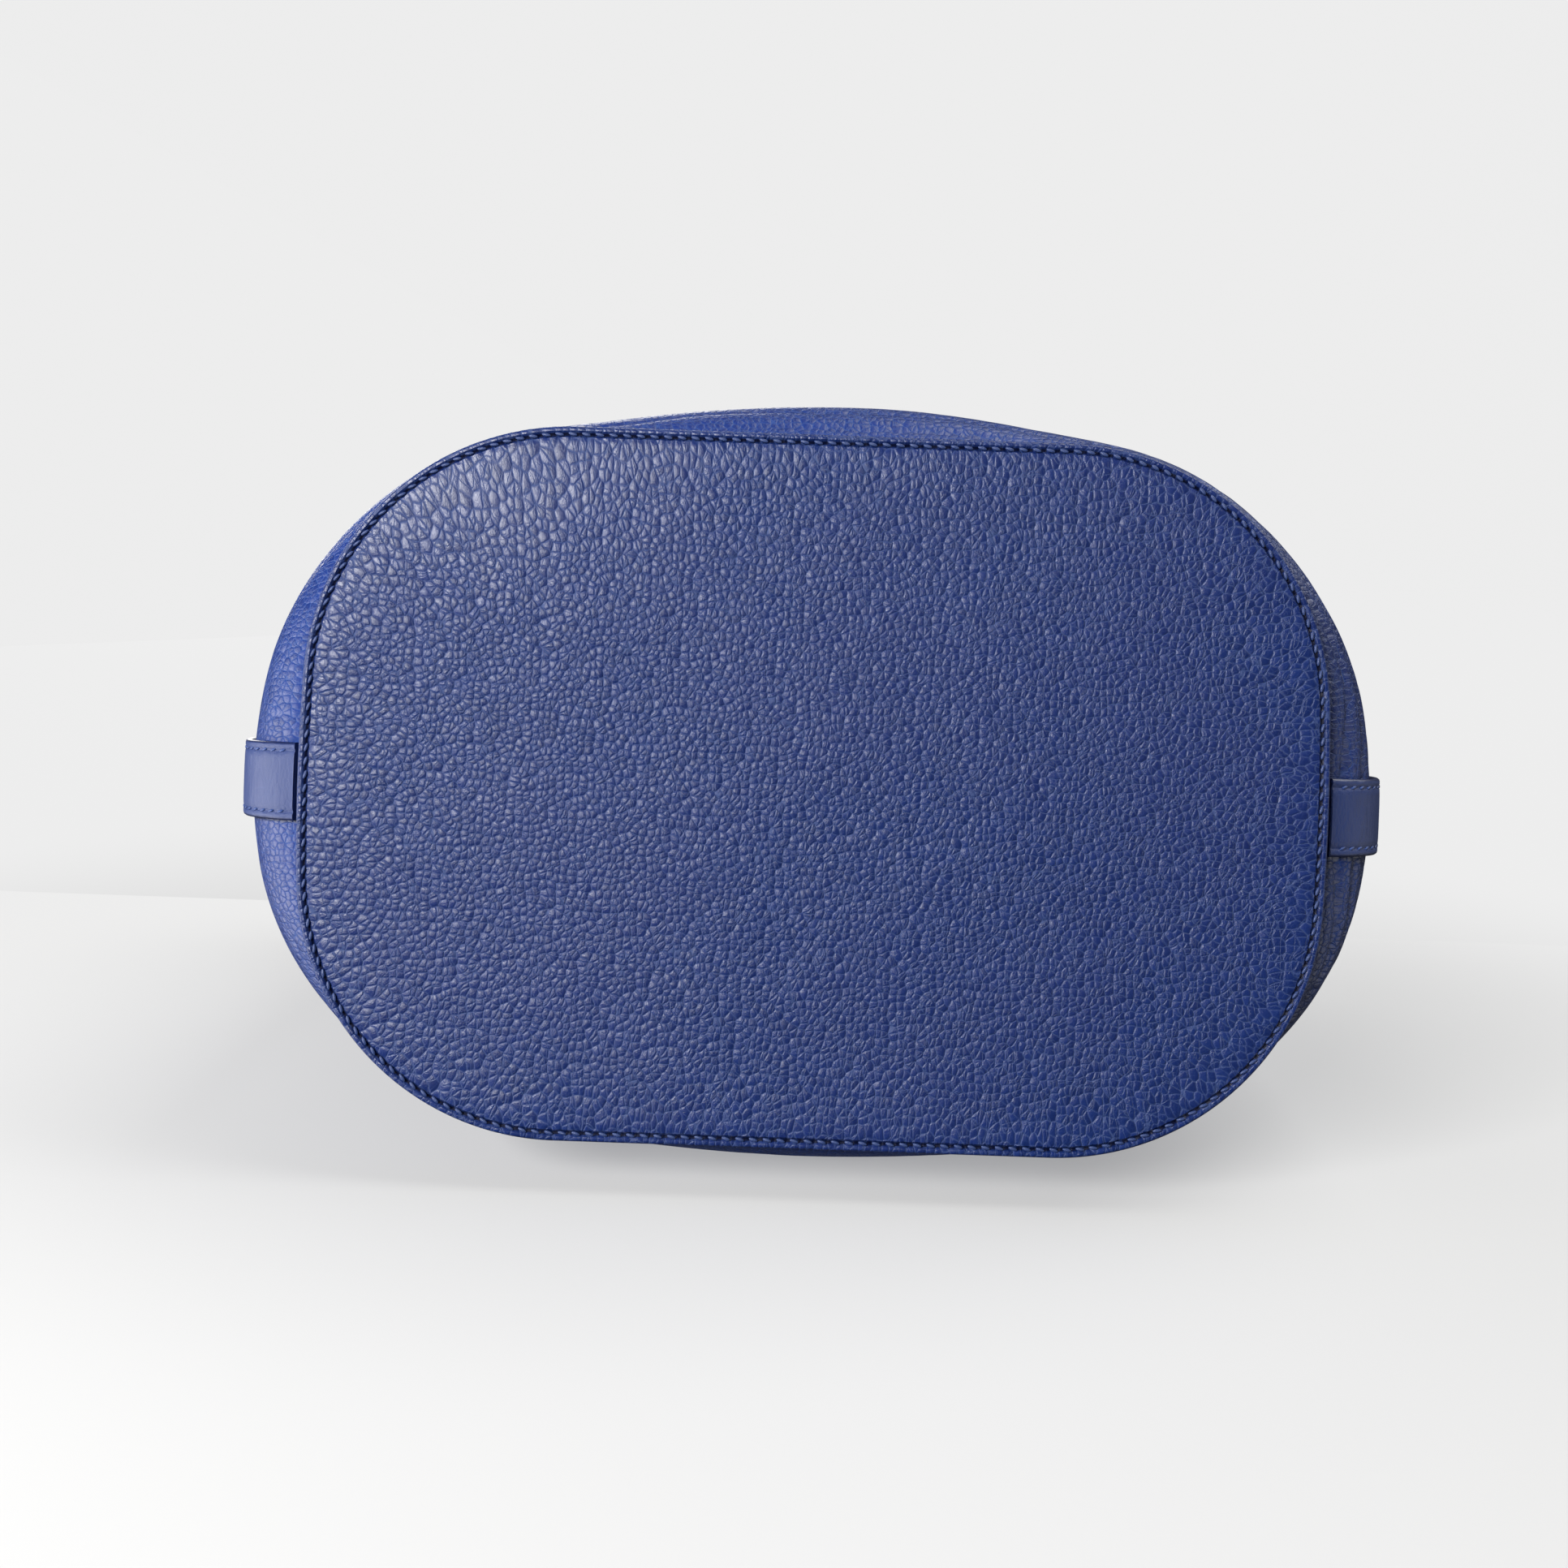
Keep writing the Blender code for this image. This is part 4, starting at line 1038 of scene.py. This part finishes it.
left_leg = [Vector((-p.x, p.y, p.z)) for p in reversed(smooth_path(over_bar, 3))]
right_leg = smooth_path(right_leg, 4)
right_sizes = leg_sizes(right_leg, len(ring_loop) * 4)
long_path = right_leg + arch + left_leg
tip = length_of(long_path)
run, long_sizes = 0.0, []
for k, spot in enumerate(long_path):
    run += (spot - long_path[k - 1]).length if k else 0
    half = right_sizes[k] if k < len(right_sizes) else strap_width / 2
    long_sizes.append(half * (0.42 + 0.58 * round_end(tip - run, 0.012)))
bm = swept(long_path, strap_section, Y, long_sizes, strap_thickness / 2)
add_handle_strap("handle_hole_strap", bm, sew(long_path, long_sizes, Y, 0.062, tip - 0.008))

# ---- punched holes ------------------------------------------------------------------
# Round holes in the long strap let the prong through. Each is a flat dark disc on the strap, which
# is painted shade for the open hole and also stands for its dark-painted edge.
r = Recipe("hole shadow")
where = r.add("ShaderNodeTexCoord", out=3)
specks = r.noise(where, 2600, 3)
hole_shade = r.dress(r.blend(specks, (0.004, 0.006, 0.016, 1), (0.012, 0.018, 0.045, 1)),
                     r.total(0.5, (specks, 0.2)), r.math("MULTIPLY", specks, 0.00004))
bm = bmesh.new()
for distance in (0.054, 0.066, 0.126, 0.138):
    nearest = min((k for k in range(len(long_path)) if long_path[k].x < 0),
                  key=lambda k: abs(long_path[k].z - distance))
    along = ahead_at(long_path, nearest)
    out = Y.cross(along).normalized()
    tilt = Matrix([(along[k], Y[k], out[k]) for k in range(3)])
    place = Matrix.Translation(long_path[nearest] + out * strap_thickness * 0.56) @ tilt.to_4x4()
    bmesh.ops.create_cone(bm, cap_ends=True, segments=20, radius1=0.0016, radius2=0.0012,
                          depth=0.00024, matrix=place)
add_piece("punched_holes", hang(bm), hole_shade, "handle")

# ---- buckle and keeper --------------------------------------------------------------
# The buckle is a frame of round wire with a prong hung on its heel bar. A leather keeper
# beyond it holds the strap's end down.
buckle_x = leg_x - heel_turn
reach, sleeve_radius = front_bar - heel_bar, 0.0022


def rounded_loop(middle, across, along, bend, steps):
    """Points round an oblong with rounded corners. across and along reach from its middle to
    its sides, and bend is the corners' radius."""
    points = []
    for k, (a, b) in enumerate(((1, 1), (-1, 1), (-1, -1), (1, -1))):
        bend_across, bend_along = across.normalized() * bend, along.normalized() * bend
        corner = middle + a * (across - bend_across) + b * (along - bend_along)
        for n in range(steps + 1):
            turn = math.radians(90 * (k + n / steps))
            points.append(corner + bend_across * math.cos(turn) + bend_along * math.sin(turn))
    return points


frame_middle = Vector((-buckle_x, 0, (heel_bar + front_bar) / 2))
frame_points = rounded_loop(frame_middle, Y * (strap_width / 2 + 0.0025), Z * (reach / 2),
                            0.0030, 8)
add_wire("buckle_frame", frame_points, bar_radius)

sleeve = [Vector((-buckle_x + sleeve_radius * x, 0, heel_bar + sleeve_radius * z))
          for x, z in circle(32)]
bm = swept(sleeve, round_section, Y, 0.0019, 0.00044, closed=True)
prong_line = smooth_path([Vector((-buckle_x - out, 0, heel_bar + d)) for out, d in (
    (0.0010, 0.0020), (0.0005, 0.0060), (0.0010, 0.0120), (0.0022, reach - 0.0030),
    (0.0026, reach), (0.0024, reach + 0.0026))], 5)
rod_sizes = [0.0013 - 0.0006 * k / (len(prong_line) - 1) for k in range(len(prong_line))]
rod_sizes[-1] = 0.0003
gather(bm, swept(prong_line, round_section, Y, rod_sizes, [min(v, 0.0009) for v in rod_sizes]))
add_piece("buckle_prong_metal", hang(bm), nickel, "prong", ["buckle_prong"])

keeper_at, keeper_wall, keeper_half = 0.060, 0.0014, 0.0035
low, high = -strap_thickness / 2 - clearance, strap_thickness * 1.5 + 2 * clearance
half_x, half_y = (high - low + keeper_wall) / 2, strap_width / 2 + clearance + keeper_wall / 2
keeper_middle = Vector((-(leg_x + (low + high) / 2), 0, keeper_at))
keeper_path = rounded_loop(keeper_middle, X * half_x, Y * half_y, 0.0009, 6)
keeper_section = section_round(((1.0, 0.0), (0.97, 0.6), (0.90, 0.95), (0.8, 1.0), (0.4, 1.0)),
                               ((0.97, -0.6), (0.90, -0.95), (0.5, -1.0)))
bm = swept(keeper_path, keeper_section, Z, keeper_half, keeper_wall / 2, closed=True)
add_strap("handle_keeper", hang(bm), "handle")

# ---- camera, table and light --------------------------------------------------------
# The bag lies on its back on a white table, seen square on from below, in soft daylight
# from a large window on the left.
roll = math.radians(2.0)
camera_data = bpy.data.cameras.new("camera")
camera_data.sensor_width = 36.0
camera_data.lens = 36.06
camera_data.clip_start = 0.01
camera = bpy.data.objects.new("camera", camera_data)
bpy.context.scene.collection.objects.link(camera)
right = Vector((math.cos(roll), -math.sin(roll), 0))
up = Vector((-math.sin(roll), -math.cos(roll), 0))
camera.matrix_world = Matrix((
    (right.x, up.x, 0, -0.00742), (right.y, up.y, 0, -0.00179), (0, 0, -1, -0.3945),
    (0, 0, 0, 1),
))
bpy.context.scene.camera = camera
bpy.context.scene.view_settings.view_transform = "Standard"


far_glow = 0.84


def backdrop(name, corners, grey=0.40, glow=0.34, near=0.30, far=0.62):
    """A one-sided pale sheet that only the camera sees. The lamps light it near the bag, and
    further away it glows evenly instead."""
    bm = bmesh.new()
    bm.faces.new([bm.verts.new(c) for c in corners])
    mesh = bpy.data.meshes.new(name)
    bm.to_mesh(mesh)
    bm.free()
    sheet = bpy.data.objects.new(name, mesh)
    bpy.context.scene.collection.objects.link(sheet)
    r = Recipe(name)
    output = r.tree.nodes["Material Output"]
    r.tree.nodes.remove(r.shader)
    away = r.add("ShaderNodeVectorMath", {0: r.add("ShaderNodeTexCoord", out=3)}, "Value",
                 operation="LENGTH")
    distant = r.ease(away, near, far)
    lit = r.blend(distant, (grey, grey, grey, 1), (0.01, 0.01, 0.01, 1))
    front = r.add("ShaderNodeBsdfDiffuse", {"Color": lit})
    lift = r.total(glow, (distant, far_glow - glow))
    shine = r.add("ShaderNodeEmission", {"Color": (1, 1, 1, 1), "Strength": lift})
    front = r.add("ShaderNodeAddShader", {0: front, 1: shine})
    clear = r.add("ShaderNodeBsdfTransparent")
    behind = r.add("ShaderNodeNewGeometry", out="Backfacing")
    r.feed(output.inputs["Surface"], r.add("ShaderNodeMixShader", {0: behind, 1: front, 2: clear}))
    mesh.materials.append(r.material)
    sheet.visible_diffuse = sheet.visible_glossy = sheet.visible_shadow = False
    sheet.visible_transmission = sheet.visible_volume_scatter = False


def lying(x, z):
    """A point on the table, which touches the bag's back and falls away past its mouth."""
    return Vector((x, 0.1037 - 0.114 * z - 0.10 * max(z - 0.36, 0), z))


left_foot, right_foot = lying(-1.98, 0.36), lying(3.6, 4.20)
backdrop("table", (lying(-3, -0.40), lying(3.6, -0.40), lying(3.6, 0.36), lying(-3, 0.36)))
backdrop("table_end", (lying(-3, 0.36), lying(3.6, 0.36), right_foot, left_foot))
rise = Vector((0, -5.0, 0))
backdrop("far_wall", (left_foot, right_foot, right_foot + rise, left_foot + rise))
room_half, room_height = 9, Vector((0, 0, 12))
corners = [Vector((x * room_half, y * room_half, -0.002))
           for x, y in ((1, -1), (1, 1), (-1, 1), (-1, -1))]
backdrop("ground", corners, grey=0.42, glow=0.42, far=1.20)
for k, corner in enumerate(corners):
    following = corners[(k + 1) % 4]
    sides = (corner, corner + room_height, following + room_height, following)
    backdrop("studio_wall_%d" % k, sides)


def soft_light(name, place, aim, size, power, colour, mirrored=True):
    """An oblong lamp, size wide and high. Glossy surfaces show it only if it is mirrored."""
    data = bpy.data.lights.new(name, "AREA")
    data.shape, data.size, data.size_y = "RECTANGLE", *size
    data.energy, data.color = power, colour
    lamp = bpy.data.objects.new(name, data)
    bpy.context.scene.collection.objects.link(lamp)
    lamp.location = place
    lamp.rotation_euler = (Vector(aim) - Vector(place)).to_track_quat("-Z", "Y").to_euler()
    lamp.visible_glossy = mirrored


sunny, plain = (1.0, 0.99, 0.97), (1.0, 1.0, 0.99)
low_place, low_size = (-0.60, -0.30, -0.95), (0.34, 0.7)
soft_light("window", low_place, (0, 0, 0), low_size, 22, sunny)
soft_light("low_window", low_place, (0, 0, 0), low_size, 35, sunny, mirrored=False)
soft_light("side_window", (-3.0, 0.6, -0.1), (0, 0, 0.05), (2.8, 2.0), 95, sunny)
soft_light("room", (2.6, 0.6, 0.0), (0, 0, 0.05), (1.8, 1.6), 9, plain)
soft_light("ceiling", (1.6, -2.5, 0.15), (0.2, 0, 0.1), (2.8, 2.4), 74, plain)
soft_light("overhead", (-0.5, -0.7, 1.3), (0, 0, 0.15), (1.0, 0.8), 10, sunny)
soft_light("behind", (0.3, 1.5, 2.3), (0, 0, 0.15), (1.4, 1.0), 34, (1.0, 0.99, 0.98),
           mirrored=False)

lit_by = {  # the low lamp is mirrored only in the bag's underside, so none shows in its walls
    "window": ["base_panel_leather", "base_stitches", "table"]
              + [name + "_leather" for name in side_straps],
    "low_window": ["front_leather", "back_leather"] + [name + "_stitches" for name in side_straps],
}
for lamp, lit in lit_by.items():
    receivers = bpy.data.collections.new(lamp + " receivers")
    for name in lit:
        receivers.objects.link(bpy.data.objects[name])
    bpy.data.objects[lamp].light_linking.receiver_collection = receivers

world = bpy.data.worlds.new("daylight")
world.use_nodes = True
background = world.node_tree.nodes["Background"]
background.inputs["Color"].default_value = (0.86, 0.89, 0.95, 1)
background.inputs["Strength"].default_value = 0.07
bpy.context.scene.world = world
